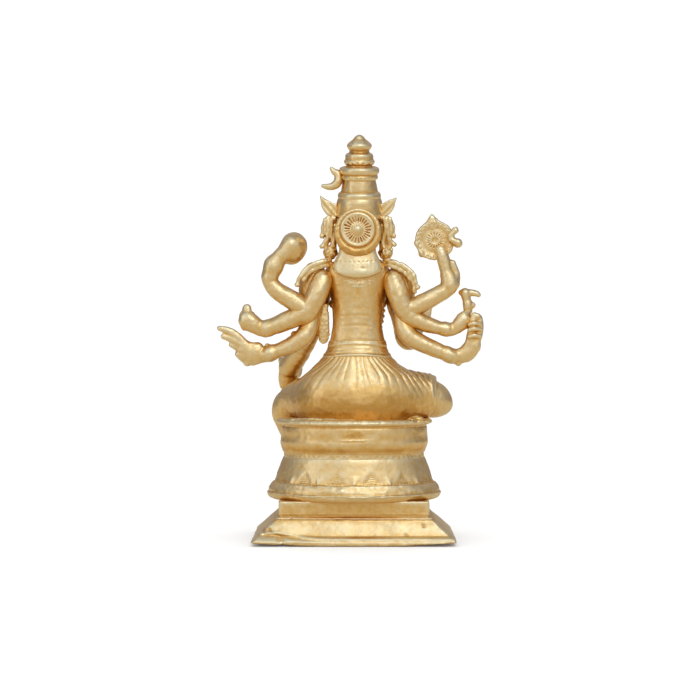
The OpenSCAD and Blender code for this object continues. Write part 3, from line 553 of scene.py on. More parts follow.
# Painted shade round the drum's foot, uneven, and the rough spot on its back darker.
def drum_shade_and_scar(p):
    low = bell(p[:, 2] - drum_lo[2] - 0.4, 0.6)
    return -0.95 * low * (0.7 + 0.6 * drift(p, 1.2)) - 0.5 * scar(p)


drum.push(drum_wear, 0.8)
cast_piece("seat_drum", drum, "lotus_brass", 0.04, drum_shade_and_scar)

rim_r = rim_hi[0] - 0.1
rim = build(0.14, [
    stack([*rings(rim_lo[2], rim_r, (-0.05, -0.75), (0.25, -0.1), (0.55, 0.05), (0.85, -0.15)),
           (rim_hi[2], rim_r - 0.55)], ratio=OVAL),
    ball((-10.6, 5.8, SEAT - 0.1), (0.7, 0.7, 0.55)),
    ball((-11.7, 5.2, SEAT + 0.15), (1.25, 0.7, 0.62)),
    ball((-12.9, 3.9, SEAT - 0.5), (1.2, 1.0, 0.4)),
    [(11.5, 5.6, SEAT, 0.25), (8, 7.1, SEAT + 0.15, 0.3), (4, 8.2, SEAT + 0.05, 0.3),
     (0, 8.6, SEAT, 0.22)],
], 0.3)
rim.push(lambda p: (0.07 * drift(p, 1.5) + 0.06 * cast(p, 0.5)) * (np.hypot(p[:, 0], p[:, 1] / OVAL) > 10.5)
         + 0.2 * cast(p, 0.45) * bell(p[:, 0] + 11.3, 1.2) * (p[:, 1] > 3), 0.8)
# Painted shade on the lumps at the back of the rim on the -X side, where they meet the skirt's hem.
cast_piece("seat_rim", rim, "lotus_brass", 0.05,
           lambda p: -0.9 * np.exp(-((p[:, 0] + 11.6) / 1.3) ** 4) * (p[:, 1] > 3) * (p[:, 2] > SEAT - 0.2))

rest_lo, rest_hi = node_box("footrest")
rest_at = (rest_lo + rest_hi) / 2
footrest = build(0.15, [stack(
    [(rest_lo[2], 1.5), *rings(rest_hi[2], 0, (-3.1, 1.35), (-2.2, 1.7), (-1.3, 2.45), (-0.6, 2.85),
                               (-0.25, 2.75), (0, 2.4))], centre=rest_at[:2],
    relief=lambda a, z: 0.22 * (np.abs(np.cos(5 * a)) - 0.5) * bell(z - rest_hi[2] + 1.2, 0.7))])
cast_piece("footrest", footrest, "lotus_brass")


# ---- skirt and legs

def oval_body(stations):
    """An upright body of smoothly changing ovals, from [z, x, y, half width, half depth]."""
    s = smooth_path([(z, x, y, hw, hd) for z, x, y, hw, hd in stations], 6)

    def field(x, y, z):
        cx, cy, hw, hd = (np.interp(z, s[:, 0], s[:, i]) for i in range(1, 5))
        u, v = (x - cx) / hw, (y - cy) / hd
        e = np.sqrt(u * u + v * v) + 1e-6
        steep = np.sqrt((u / hw) ** 2 + (v / hd) ** 2) / e
        return np.maximum((e - 1) / steep * 0.9, np.maximum(s[0, 0] - z, z - s[-1, 0]))

    w, d = s[:, 3].max() + 0.4, s[:, 4].max() + 0.4
    return field, np.array([s[:, 1].min() - w, s[:, 2].min() - d, s[0, 0]]), \
        np.array([s[:, 1].max() + w, s[:, 2].max() + d, s[-1, 0]])


def shrunk(shape, by):
    """The same shape, smaller by a distance all round."""
    return (lambda x, y, z: shape[0](x, y, z) + by), shape[1], shape[2]


hips = oval_body([
    (SEAT - 0.6, -0.4, 0.4, 10.4, 6.0), (25.0, -0.4, 0.4, 10.9, 6.6), (27.5, -0.4, 0.4, 10.9, 6.5),
    (30.0, -0.4, 0.3, 10.0, 6.0), (32.0, -0.5, 0.2, 8.6, 5.2), (33.6, -0.6, 0.1, 7.1, 4.6),
    (34.6, -0.6, 0.1, 6.3, 4.25), (35.6, -0.6, 0.1, 5.7, 3.9)])
thigh_right = limb([(-5, -0.5, 27.4, 4.5), (-9, -1.4, 27.2, 4.6), (-12.6, -2.4, 27.0, 4.3),
                    (-14.7, -2.9, 27.0, 3.6)])
thigh_left = limb([(4.6, -0.5, 27.2, 4.3), (8.2, -3, 26.9, 3.9), (11.0, -6, 26.1, 3.25),
                   (12.1, -7.6, 25.0, 3.0)])
knee_right = limb([(-12.5, -2.6, 26.5, 3.75), (-13.9, -2.8, 26.4, 3.7), (-15.2, -3.0, 26.0, 3.25),
                   (-16.5, -3.3, 25.35, 2.25)])

skirt = block(0.13, hips, thigh_right, thigh_left)
skirt.add(hips, 3.0).add(thigh_right, 2.6).add(thigh_left, 2.0)
skirt.add(limb([(-12.0, -2.0, 25.3, 2.3), (-9, 0.6, 25.0, 2.6), (0, 1.6, 24.9, 2.6), (7, 0.6, 24.9, 2.5),
                (10.0, -3, 24.9, 2.2)]), 2.0)


def pleats(p):
    """Folds that fan out from the belt, over the hips and along the thighs."""
    x, y, z = p.T
    half = np.interp(z, [23, 26, 28.5, 31, 32.2, 33.2, 34.2, 35.4],
                     [19, 18.5, 17.0, 14.6, 12.0, 9.8, 7.9, 6.1])
    u = np.clip((x + 0.6) / half, -1, 1)
    warp = 0.9 * drift(np.stack([u * 7, y * 0 + 3, z * 0.22], axis=1), 1.0)
    phase = np.arcsin(u) * 30 + 1.3 * warp
    fold = np.abs(np.cos(phase)) ** 0.7 - 0.7
    low = 27.6 + 1.3 * drift(np.stack([u * 9, y * 0, y * 0], axis=1), 1.0)
    fade = np.clip((z - low) / 3.5, 0, 1) * (0.75 + 0.5 * drift(p, 2.5))
    fade = fade * (0.34 + 0.85 * np.abs(u)) * np.clip((0.98 - np.abs(u)) * 6, 0.25, 1)
    coarse = (0.02 * cast(p, 0.42) + 0.04 * drift(p, 0.9)) * np.clip((28.5 - z) / 3, 0, 1)
    hem = 0.18 * bell(x + 14.9 - 0.12 * (z - 27), 0.22) * np.clip((z - 25.5) / 2, 0, 1)
    return 0.24 * fold * fade + coarse + hem


skirt.push(pleats, 1.0)
skirt.cut(ball((-18.6, -3.2, 26.0), (3.5, 9, 9)), 0.15)
skirt.cut(half_space(2, SEAT - 0.35, below=True))


def low_skirt_shade(p):
    """Painted shade, darker and more orange low on the back of the skirt, above the seat, with faint streaks.
    """
    x, y, z = p.T
    streak = drift(p * [0.5, 0.5, 1], 0.9)
    low = np.clip((29.6 - z) / 3.0, 0, 1) * np.exp(-((x + 0.5) / 11.5) ** 4)
    return -0.95 * low * (0.8 + 0.45 * streak) * (y > 0)


cast_piece("skirt", skirt, "drapery_brass", 0.04, low_skirt_shade, ["skirt", "thigh_right", "thigh_left"])

toes_right = [limb([(-0.6 + 0.1 * k, -8.0 - 0.42 * k, 23.7, 0.42),
                    (0.7 - 0.12 * k, -8.0 - 0.45 * k, 23.4, 0.36)])
              for k in range(5)]
leg_right = build(0.14, [
    knee_right,
    [(-15.5, -3.8, 25.5, 2.6), (-14.2, -6.4, 25.2, 2.5), (-9.6, -8.2, 24.9, 2.15),
     (-5.4, -8.5, 24.6, 1.5)],
    [(-5.4, -8.4, 24.6, 1.3, 1.2), (-3, -8.6, 24.1, 1.2, 1.2), (-0.6, -8.8, 23.7, 1.3, 0.9)],
    [(-6.4, -8.4, 24.7, 1.75), (-5.9, -8.4, 24.65, 1.75)],
], 0.5)
for toe in toes_right:
    leg_right.add(toe, 0.2)
cast_piece("leg_right", leg_right, "skin_brass", nodes=["shin_right"])

leg_left = build(0.14, [
    [(12.5, -7.8, 24.8, 3.0), (12.9, -8.5, 23.4, 2.9), (12.5, -9.2, 21.0, 2.35), (11.9, -9.6, 18.8, 2.0),
     (11.7, -9.9, 15.0, 1.8), (11.8, -10.2, 9.6, 1.2)],
    limb([(12, -9.9, 8.1, 1.2, 1.1), (11.7, -11.4, 7.8, 1.1, 1.1), (11.4, -12.6, 7.3, 0.75, 1.3)],
         up=(0, 0, 1)),
    [(12.05, -10.2, 11.2, 1.65), (12.0, -10.2, 10.8, 1.65)],
], 0.5)
for k in range(5):
    leg_left.add(limb([(10.4 + 0.5 * k, -12.6, 7.1, 0.42), (10.3 + 0.52 * k, -13.5 + 0.12 * k, 6.95, 0.34)]),
                 0.2)
leg_left.cut(stack([(0, 3.2), (rest_hi[2] - 0.05, 3.2)], centre=rest_at[:2], smooth=False))
cast_piece("leg_left", leg_left, "skin_brass", nodes=["shin_left"])

torso_core = oval_body([
    (33.2, -0.6, 0, 5.4, 3.8), (35.2, -0.6, 0.1, 5.8, 3.8), (37.2, -0.6, 0.1, 5.2, 3.4),
    (39.0, -0.6, 0.2, 4.8, 3.1),
    (41.2, -0.6, 0.2, 4.6, 3.0), (45.0, -0.7, 0.1, 5.0, 3.3), (48.4, -0.7, 0, 5.9, 3.5),
    (50.6, -0.7, 0.1, 6.1, 3.1), (52.2, -0.7, 0.3, 4.5, 2.4), (53.6, -0.7, 0.1, 2.2, 2.0)])
torso = block(0.13, torso_core, ball((-0.7, -2.6, 47), (5, 2.6, 2.4)))
torso.add(torso_core)
for side in (-1, 1):
    torso.add(ball((-0.7 + 2.5 * side, -2.7, 47), 2.25), 0.7)


def back_creases(p):
    x, y, z = p.T
    out = 0
    for z0, deep, reach in ((43.6, 0.02, 2.4), (42.2, 0.035, 3.0), (40.3, 0.035, 3.2), (37.6, 0.03, 3.6)):
        arch = z - z0 + 0.03 * (x + 0.6) ** 2
        out = out + deep * (0.8 * bell(arch - 0.45, 0.35) - bell(arch, 0.22)) \
            * np.clip((reach - np.abs(x + 0.5)) / 0.8 + 0.6, 0, 1)
    spine = -0.12 * bell(x + 0.7, 1.1) * np.clip((z - 41) / 3, 0, 1) * np.clip((49 - z) / 2, 0, 1)
    navel = -0.3 * np.exp(-((x + 0.6) ** 2 + (z - 39.6) ** 2) / 0.12) * (y < 0)
    return (out + spine) * (y > 0) + navel


torso.push(back_creases, 0.8)
cast_piece("torso", torso, "skin_brass", 0.045)

sash_end = limb([(5.7, 0.3, 43.6, 0.35, 0.9), (5.8, 0.5, 41.4, 0.4, 1.15), (5.75, 0.5, 39.2, 0.45, 1.25),
                 (5.7, 0.5, 37.7, 0.4, 1.0)])
belt = build(0.13, [sash_end, oval_body([
    (34.0, -0.6, 0.1, 6.4, 4.2), (34.5, -0.6, 0.1, 6.42, 4.42), (35.0, -0.6, 0.1, 6.08, 4.28),
    (35.7, -0.6, 0.1, 5.72, 3.98), (36.6, -0.6, 0.1, 5.5, 3.75), (37.4, -0.6, 0.1, 5.3, 3.5)])], 0)


def belt_lines(p):
    x, y, z = p.T
    droop = z + 0.014 * (x + 0.6) ** 2 * (y > 0)
    fine = 0.012 * np.cos((droop - 36.1) * 9)
    edge = -0.08 * bell(droop - 35.25, 0.16) + 0.10 * bell(droop - 34.85, 0.18)
    crease = 0.08 * bell(droop - 37.0, 0.22) - 0.05 * bell(droop - 36.55, 0.2)
    weave = 0.05 * cast(p, 0.5) * (z > 37.6)
    return weave + fine + edge + crease - 0.35 * np.clip((34.6 - droop) / 0.5, 0, 1)


belt.push(belt_lines, 0.8)
cast_piece("belt", belt, "ornament_brass", 0.05)

sash = build(0.14, [[(-0.6, -4.6, 35.4, 0.8, 1.6), (-0.4, -6.1, 31.8, 0.7, 1.5),
                     (-0.3, -6.9, 28, 0.7, 1.7), (-0.3, -7.4, 24, 0.8, 2.1)]], 0)
sash.push(lambda p: 0.16 * np.cos(p[:, 0] * 5.5) + 0.05 * np.cos(p[:, 2] * 3), 0.8)
cast_piece("front_sash", sash, "drapery_brass")


# ---- trunk ornaments

breast_band = build(0.12, [oval_body([
    (43.2, -0.7, -0.1, 4.75, 3.2), (43.6, -0.7, -0.15, 4.95, 3.4), (44.2, -0.7, -0.2, 5.1, 3.5),
    (44.8, -0.7, -0.2, 5.1, 3.45), (45.2, -0.7, -0.2, 4.9, 3.3)])])
breast_band.add(oval_body([(43.6, -0.7, -1.2, 5.2, 3.1), (44.2, -0.7, -1.3, 5.4, 3.3),
                           (44.9, -0.7, -1.2, 5.2, 3.1)]), 0.3)
breast_band.cut(shrunk(torso_core, 0.45))
breast_band.cut(half_space(1, 1.2, below=False), 0.2)
cast_piece("breast_band", breast_band, "ornament_brass")

necklace = build(0.11, [
    [(-3.8, -0.6, 52.6, 0.5), (-3.2, -3.4, 51, 0.5), (-0.7, -4.6, 49.6, 0.6), (1.8, -3.4, 51, 0.5),
     (2.4, -0.6, 52.6, 0.5)],
    ball((-0.7, -4.9, 49.2), (0.7, 0.5, 0.8)),
], 0.2)
necklace.push(lambda p: 0.12 * np.cos(p[:, 0] * 7), 0.6)
cast_piece("necklace", necklace, "ornament_brass")

garland_half = [(-4.6, 0.4, 52.2, 0.5), (-5.4, -3.2, 50.6, 0.55), (-5.3, -4.4, 46.6, 0.55),
                (-5.2, -3.4, 41.6, 0.55), (-3.4, -4.6, 36.4, 0.55), (-0.6, -5.6, 34.2, 0.7)]
garland = build(0.12, [
    limb(garland_half), [(-x - 2.0, y - 0.3, z, r) for x, y, z, r in garland_half],
    ball((-0.7, -5.7, 34.0), (1.0, 0.6, 1.0)),
], 0.15)
garland.push(lambda p: 0.14 * np.cos(p[:, 2] * 6), 0.6)
cast_piece("garland", garland, "ornament_brass")


# ---- head

HEAD_X = -0.75
head_core = oval_body([
    (53.0, HEAD_X, -1.5, 1.3, 1.7), (53.7, HEAD_X, -1.3, 2.3, 2.7), (55.0, HEAD_X, -1.15, 3.2, 3.6),
    (57.0, HEAD_X, -1.0, 3.8, 4.0), (59.0, HEAD_X, -0.9, 4.0, 4.1), (61.0, HEAD_X, -0.7, 4.1, 3.9),
    (62.4, HEAD_X, -0.7, 3.7, 3.6)])
head = block(0.1, head_core, ball((HEAD_X, -5.2, 57), 1.0), ball((HEAD_X, -0.5, 52.4), 2.2))
head.add(head_core)
head.add(limb([(HEAD_X, -0.2, 51.6, 2.2), (HEAD_X, -0.3, 53.6, 1.9), (HEAD_X, -0.4, 55.4, 2.0)]), 0.5)
for side in (-1, 1):
    head.cut(ball((HEAD_X + 1.45 * side, -5.35, 58.0), (1.05, 0.75, 0.62)), 0.5)
    head.add(ball((HEAD_X + 1.4 * side, -4.25, 57.95), (0.78, 0.55, 0.42)), 0.15)
    head.add(limb([(HEAD_X + 0.5 * side, -4.85, 58.85, 0.14), (HEAD_X + 1.4 * side, -4.72, 59.2, 0.16),
                   (HEAD_X + 2.3 * side, -4.2, 58.85, 0.12)]), 0.25)
    head.add(ball((HEAD_X + 1.7 * side, -3.9, 56.3), (1.1, 0.8, 0.9)), 0.8)
    head.add(limb([(HEAD_X + 3.7 * side, -0.9, 58.6, 0.35), (HEAD_X + 4.05 * side, -0.5, 57.6, 0.42),
                   (HEAD_X + 3.95 * side, -0.6, 56.2, 0.36)]), 0.3)
head.add(limb([(HEAD_X, -4.75, 58.6, 0.28), (HEAD_X, -5.15, 57.4, 0.36), (HEAD_X, -5.3, 56.9, 0.42)]), 0.35)
head.add(ball((HEAD_X - 0.38, -5.0, 56.75), (0.3, 0.3, 0.24)), 0.2)
head.add(ball((HEAD_X + 0.38, -5.0, 56.75), (0.3, 0.3, 0.24)), 0.2)
head.add(limb([(HEAD_X - 0.85, -4.64, 55.74, 0.11), (HEAD_X - 0.35, -4.9, 55.88, 0.19),
               (HEAD_X, -4.94, 55.82, 0.19),
               (HEAD_X + 0.35, -4.9, 55.88, 0.19), (HEAD_X + 0.85, -4.64, 55.74, 0.11)]), 0.08)
head.add(limb([(HEAD_X - 0.6, -4.66, 55.42, 0.14), (HEAD_X, -4.92, 55.28, 0.26),
               (HEAD_X + 0.6, -4.66, 55.42, 0.14)]), 0.08)
head.cut(limb([(HEAD_X - 0.85, -4.84, 55.6, 0.08), (HEAD_X, -5.18, 55.56, 0.1),
               (HEAD_X + 0.85, -4.84, 55.6, 0.08)]), 0.06)
head.add(ball((HEAD_X, -3.9, 54.2), (0.8, 0.6, 0.6)), 0.5)
cast_piece("head", head, "skin_brass", 0.03)


def sheet(edge, surface, thick, x0, soft=0.5):
    """A thick sheet: edge is [z, half width], surface(x, z) its back face, facing +Y."""
    zs = [p[0] for p in edge]
    wide = max(p[1] for p in edge)

    def field(x, y, z):
        side = (np.abs(x - x0) - smooth_curve(edge, z)) * 0.75
        back = y - surface(x - x0, z)
        body = -smooth_min(-side, -np.maximum(back, -back - thick), soft)
        return np.maximum(body, np.maximum(zs[0] - z, z - zs[-1]))

    top = max(float(surface(0, z)) for z in zs) + 0.2
    low = min(float(surface(wide, z)) for z in zs) - thick - 0.2
    return field, np.array([x0 - wide, low, zs[0]]), np.array([x0 + wide, top, zs[-1]])


def hair_surface(x, z):
    depth = [(49.0, 4.7), (50.0, 4.95), (51.5, 4.74), (53.0, 4.42), (55.4, 3.9)]
    return smooth_curve(depth, z) - 0.06 * x * x


hair = build(0.11, [sheet([
    (49.15, 0.7), (49.3, 2.1), (49.6, 3.2), (50.0, 4.0), (50.5, 4.45), (51.0, 4.58), (51.6, 4.5),
    (52.6, 4.1), (54.0, 3.5), (55.4, 3.4)], hair_surface, 2.2, HEAD_X + 0.12, 0.75)])


def hair_lines(p):
    x, y, z = p.T
    u = (x - HEAD_X) / np.interp(z, [50, 52, 54], [1.15, 1.08, 1.0])
    strand = 0.006 * np.cos(u * 9.5 + 0.6 * drift(p, 3.0)) * np.clip(53.2 - z, 0, 1)
    row = -0.06 * bell(z - 52.0 - 0.02 * x * x, 0.13) * (0.6 + 0.8 * np.cos(x * 7.5))
    pit = -0.14 * np.exp(-((x + 1.6) ** 2 + 3 * (z - 50.9) ** 2) / 0.12)
    return (strand + row + pit) * (y > 2.5)


hair.push(hair_lines, 0.7)
# Painted light: the whole hair fan is set paler, lifting it out of the painted shade.
cast_piece("hair_fan", hair, "drapery_brass", 0.03, lambda p: 0.3 + 0 * p[:, 0])

nape = build(0.11, [[(-4.6, 1.5, 50.0, 0.5, 0.7), (-2.9, 2.8, 48.55, 0.35, 0.95),
                     (-0.7, 3.2, 47.95, 0.38, 1.0),
                     (1.5, 2.8, 48.45, 0.35, 0.95), (3.2, 1.5, 50.0, 0.5, 0.7)]])


def strand_marks(p):
    x, z = p[:, 0], p[:, 2]
    row = np.cos((z + 0.045 * (x + 0.7) ** 2) * 9.0 + 1.2 * drift(p, 1.3))
    dash = np.cos(x * 6 + 2.2 * row + 3.5 * drift(p, 0.9))
    return 0.03 * row * (0.4 + 0.6 * (dash > -0.2)) + 0.04 * cast(p, 0.5) + 0.05 * cast(p, 0.3)


nape.push(strand_marks, 0.6)
cast_piece("nape_band", nape, "ornament_brass", 0.03)

# ---- round plate at the back of the head

ring_lo, ring_hi = node_box("halo_ring")
disc_lo, disc_hi = node_box("halo_disc")
RING_Z = (ring_lo[2] + ring_hi[2]) / 2
RING_R = (ring_hi[0] - ring_lo[0]) / 2
ring_y = ring_hi[1] - 0.62
ring_path = []
for k in range(25):
    a = 2 * math.pi * k / 24
    tube = 0.64 - 0.28 * math.sin(a)
    ring_path.append((HEAD_X + 0.05 + 3.74 * math.cos(a), ring_y - 0.2 + tube * 0.35,
                      RING_Z - 0.24 + 3.87 * math.sin(a), tube * 0.9, tube))
halo_ring = build(0.1, [limb(ring_path, steps=2), disc((HEAD_X, ring_lo[1], RING_Z), [
    (0, 0.8, 0), (RING_R - 0.8, 0.8, 0), (RING_R - 0.55, 0.5, 0.1)])], 0.25)
halo_ring.cut(ball((HEAD_X + 0.05, ring_y + 0.5, RING_Z - 0.05), (3.32, 1.0, 3.32)), 0.15)


def rope(p):
    x, z = p[:, 0] - HEAD_X, p[:, 2] - RING_Z
    a, rho = np.arctan2(z, x), np.hypot(x, z)
    twist = 0.014 * np.cos(27 * a + 6 * (rho - 4)) * np.clip((z + 1.0) / 2.0, 0, 1)
    rough = 0.05 * cast(p, 0.45) * np.clip((rho - 3.5) * 3, 0.3, 1) * np.clip(1 - z / 3, 0.2, 1)
    return twist + rough


halo_ring.push(rope, 0.6)
# Painted shade: the whole ring is darker and more orange, and darker still towards its bottom.
cast_piece("halo_ring", halo_ring, "crown_brass", 0.02, lambda p: -0.85 - 0.25 * (RING_Z - p[:, 2]) / 4)

INNER_R = (disc_hi[0] - disc_lo[0]) / 2
DISC_Z = RING_Z + 0.03
STROKES = 25
stroke_length = np.random.RandomState(5).uniform(-0.28, 0.12, STROKES)
stroke_depth = np.random.RandomState(8).uniform(0.14, 0.34, STROKES)


def rosette(rho, a):
    """About two dozen uneven strokes round a small dome with faint rays."""
    turn = (a / (2 * math.pi) % 1) * STROKES + 0.12 * np.sin(3 * a + 1)
    which = np.floor(turn).astype(int) % STROKES
    across = np.abs(turn - np.floor(turn) - 0.5) * 2
    stroke = np.clip((0.62 - across) * 2.6, 0, 1)
    end = 2.64 + stroke_length[which]
    reach = np.clip((rho - 1.42) * 6, 0, 1) * np.clip((end - rho) * 5, 0, 1)
    rays = -0.05 * np.cos(19 * a + 2 * np.sin(2 * a)) * (rho < 1.4) * (rho > 0.5)
    return -stroke_depth[which] * stroke * reach + rays


halo_disc = build(0.075, [disc(
    (HEAD_X + 0.08, disc_lo[1], DISC_Z),
    [(0, 1.98, 0), (0.3, 1.93, 0), (0.6, 1.78, 0), (0.9, 1.62, 0), (1.25, 1.5, 0), (1.4, 1.5, 0),
     (2.0, 1.54, 0),
     (2.65, 1.56, 0), (2.95, 1.62, 0), (3.2, 1.5, 0), (max(INNER_R, 3.35), 1.25, 0)], rosette)])
# Painted light: the whole plate is set paler, lifting it out of the painted shade.
cast_piece("halo_disc", halo_disc, "crown_brass", 0.02, lambda p: 0.25 + 0 * p[:, 0])

# ---- ornaments beside the head


def flipped(turn, *stations):
    """The stations mirrored about the head's middle when turn is -1."""
    return [(HEAD_X + turn * (s[0] - HEAD_X), *s[1:]) for s in stations]


for side, turn, drop in (("left", 1, 0.0), ("right", -1, 0.35)):
    ear = build(0.09, [
        limb(flipped(turn, (4.0, 0.9, 60.3, 0.4, 0.6), (5.0, 0.8, 59.9, 0.35, 0.6),
                     (5.55, 0.7, 58.8, 0.35, 0.55),
                      (5.65, 0.65, 57.7, 0.35, 0.5), (5.85, 0.6, 57.1, 0.36, 0.42))),
        ball(*flipped(turn, (5.98, 0.6, 56.95)), 0.48),
        limb(flipped(turn, (3.6, 0.5, 60.0, 0.25, 1.0), (4.4, 0.5, 58.6, 0.25, 1.2),
                     (4.5, 0.5, 57.0, 0.25, 1.1),
                      (4.4, 0.5, 56.5, 0.25, 0.8))),
        limb(flipped(turn, (4.7, 1.0, 59.7, 0.3, 0.95), (4.95, 1.0, 58.4, 0.3, 0.95),
                     (5.1, 1.0, 57.5, 0.3, 0.6))),
        limb(flipped(turn, (3.9, 1.1, 60.2, 0.4, 0.6), (4.3, 1.1, 59.2, 0.4, 0.75),
                     (4.5, 1.05, 57.8, 0.4, 0.7),
                      (4.9, 0.95, 56.6, 0.36, 0.5), (5.7, 0.8, 55.3 + drop, 0.3, 0.42))),
        ball(*flipped(turn, (6.0, 0.8, 55.0 + drop)), (0.52, 0.45, 0.42)),
        limb(flipped(turn, (3.75, 0.8, 58.8, 0.6, 0.6), (3.9, 0.8, 57.2, 0.6, 0.65),
                     (3.8, 0.8, 55.8, 0.6, 0.6),
                      (4.1, 0.7, 54.4, 0.8, 0.8))),
        ball(*flipped(turn, (4.4, 0.7, 53.9)), (1.3, 1.05, 1.3)),
        limb(flipped(turn, (4.9, 0.7, 56.0, 0.3, 0.42), (5.35, 0.75, 54.8, 0.3, 0.42),
                     (5.1, 0.7, 53.8, 0.3, 0.5))),
    ], 0.16)
    ear.push(lambda p: (0.14 * cast(p, 0.45) + 0.06 * cast(p, 0.3)) * np.clip((55.4 - p[:, 2]), 0, 1)
             + 0.03 * np.cos(p[:, 0] * 9 + 2 * drift(p, 1.0)) * (p[:, 2] > 56), 0.6)
    cast_piece("ear_ornament_" + side, ear, "ornament_brass", 0.06)

    tip = (6.25, 64.45) if side == "left" else (6.35, 64.1)
    leaf = build(0.09, [plate(flipped(
        turn, (3.1, 63.1), (3.8, 63.1), (5.08, 63.75), tip, (6.3, 63.5), (6.1, 62.4), (5.7, 61.6),
        (5.2, 60.95), (4.2, 60.6), (3.1, 60.6)), 0.35, 1.2, 0.25)])
    spine_a, spine_b = np.array([3.9, 61.4]), np.array([tip[0] - 0.1, tip[1] - 0.3])
    along = unit(spine_b - spine_a)

    def leaf_rib(p, turn=turn, at=spine_a, along=along):
        u, w = HEAD_X + turn * (p[:, 0] - HEAD_X) - at[0], p[:, 2] - at[1]
        off = u * along[1] - w * along[0]
        return 0.12 * bell(off, 0.3) + 0.03 * np.cos(off * 7) - 0.04

    leaf.push(leaf_rib, 0.5)
    cast_piece("leaf_" + side, leaf, "crown_brass", 0.04)

TASSEL_MIDDLE = {1: 0.0, -1: -0.6}


def beside(stations, turn):
    """Tassel stations, mirrored about the trunk when turn is -1."""
    return [(turn * s[0] + (1 - turn) * TASSEL_MIDDLE[turn], *s[1:]) for s in stations]


for side, turn, drop in (("left", 1, 0.0), ("right", -1, 0.5)):
    band = [(4.6, 1.2, 52.5, 0.36, 0.5), (6.5, 2.2, 52.0, 0.34, 0.5), (8.5, 2.4, 51.0, 0.34, 0.5),
            (9.9, 2.7, 49.5, 0.32, 0.45), (10.45, 2.6, 48.4 - drop, 0.34, 0.36)]
    inner = [(x - 0.4, y - 0.2, z - 0.75, 0.3, 0.42) for x, y, z, _, _ in band[:4]]
    shapes = [limb(beside(band, turn)), limb(beside(inner, turn)),
              ball(beside([(10.6, 2.6, 47.85 - drop)], turn)[0], (0.55, 0.5, 0.5))]
    if side == "right":
        shapes.append(limb(beside([(9.0, 2.5, 50.0, 0.36), (9.8, 2.4, 48.3, 0.4), (10.1, 2.3, 46.6, 0.45)],
                                  turn)))
    tassel = build(0.1, shapes, 0.16)
    tassel.push(lambda p: 0.03 * np.cos(p[:, 2] * 5 + p[:, 0] * 3) + 0.04 * cast(p, 0.6), 0.5)
    cast_piece("tassel_" + side, tassel, "ornament_brass")

# ---- crown, leaning back

CROWN = dict(centre=(-1.0, -0.5), lean=(61, -0.5, 8))


def faint_rings(amount, pitch):
    return lambda a, z: amount * np.cos(z * 2 * math.pi / pitch)


crown_body = build(0.12, [stack([
    (60.2, 4.2), (60.6, 4.45), (61.2, 4.55), (62.0, 4.45), (62.8, 4.33), (63.6, 4.18), (64.2, 3.95),
    (64.6, 3.7), (65.2, 3.45), (65.7, 3.42), (66.3, 3.32), (66.9, 3.2), (67.4, 3.08), (67.8, 3.0)],
    relief=faint_rings(0.008, 0.42), **CROWN)])
cast_piece("crown_body", crown_body, "crown_brass", 0.035)

crown_ring = build(0.1, [stack([
    (63.9, 3.8), (64.2, 3.98), (64.6, 4.02), (64.9, 3.98), (65.15, 3.82), (65.4, 3.5)], **CROWN)])
cast_piece("crown_ring", crown_ring, "crown_brass", 0.03)

crown_mid = build(0.1, [stack([
    (67.4, 2.9), (67.5, 3.0), (67.62, 3.3), (67.9, 3.48), (68.25, 3.46), (68.42, 3.36), (68.52, 3.34),
    (68.66, 3.5),
    (68.9, 3.66), (69.3, 3.72), (69.65, 3.68), (69.9, 3.45), (70.05, 3.0), (70.1, 2.6)], **CROWN)])


def tooth_marks(p):
    a = np.arctan2(p[:, 1] - 0.6, p[:, 0] + 1.0)
    low = bell(p[:, 2] - 67.5, 0.18)
    return -0.06 * low * (0.5 + 0.5 * np.cos(26 * a + 2 * drift(p, 1.5)))


crown_mid.push(tooth_marks, 0.6)
cast_piece("crown_tier_mid", crown_mid, "crown_brass", 0.03)

crown_top = build(0.09, [stack([
    (69.9, 2.5), (70.1, 2.38), (70.25, 2.36), (70.4, 2.42), (70.5, 2.65), (70.75, 2.84), (71.05, 2.88),
    (71.25, 2.76),
    (71.36, 2.66), (71.5, 2.62), (71.8, 2.62), (72.1, 2.6), (72.35, 2.5), (72.55, 2.2), (72.65, 1.95),
    (72.9, 1.85),
    (73.1, 1.9), (73.4, 2.15), (73.7, 2.3), (74.0, 2.34), (74.3, 2.2), (74.6, 1.88), (74.9, 1.5),
    (75.1, 1.22), (75.3, 1.04), (75.5, 0.9), (75.75, 0.64), (75.92, 0.34), (76.0, 0.0)], **CROWN)])


def neck_teeth(p):
    a = np.arctan2(p[:, 1] - 0.9, p[:, 0] + 1.0)
    return 0.12 * bell(p[:, 2] - 70.25, 0.15) * np.cos(15 * a + 1.5 * drift(p, 1.2))


crown_top.push(neck_teeth, 0.6)
cast_piece("crown_tier_top", crown_top, "crown_brass", 0.03)

moon = build(0.09, [
    [(4.2, 1, 69.55, 0.36), (3.75, 1, 69.0, 0.58), (3.15, 1, 68.6, 0.72), (2.9, 1, 67.7, 0.82),
     (3.2, 1, 66.8, 0.85), (4.0, 1, 66.25, 0.74), (4.9, 1, 66.15, 0.6), (5.75, 1, 66.3, 0.4)]], 0.25)
cast_piece("crown_crescent", moon, "crown_brass", 0.05)

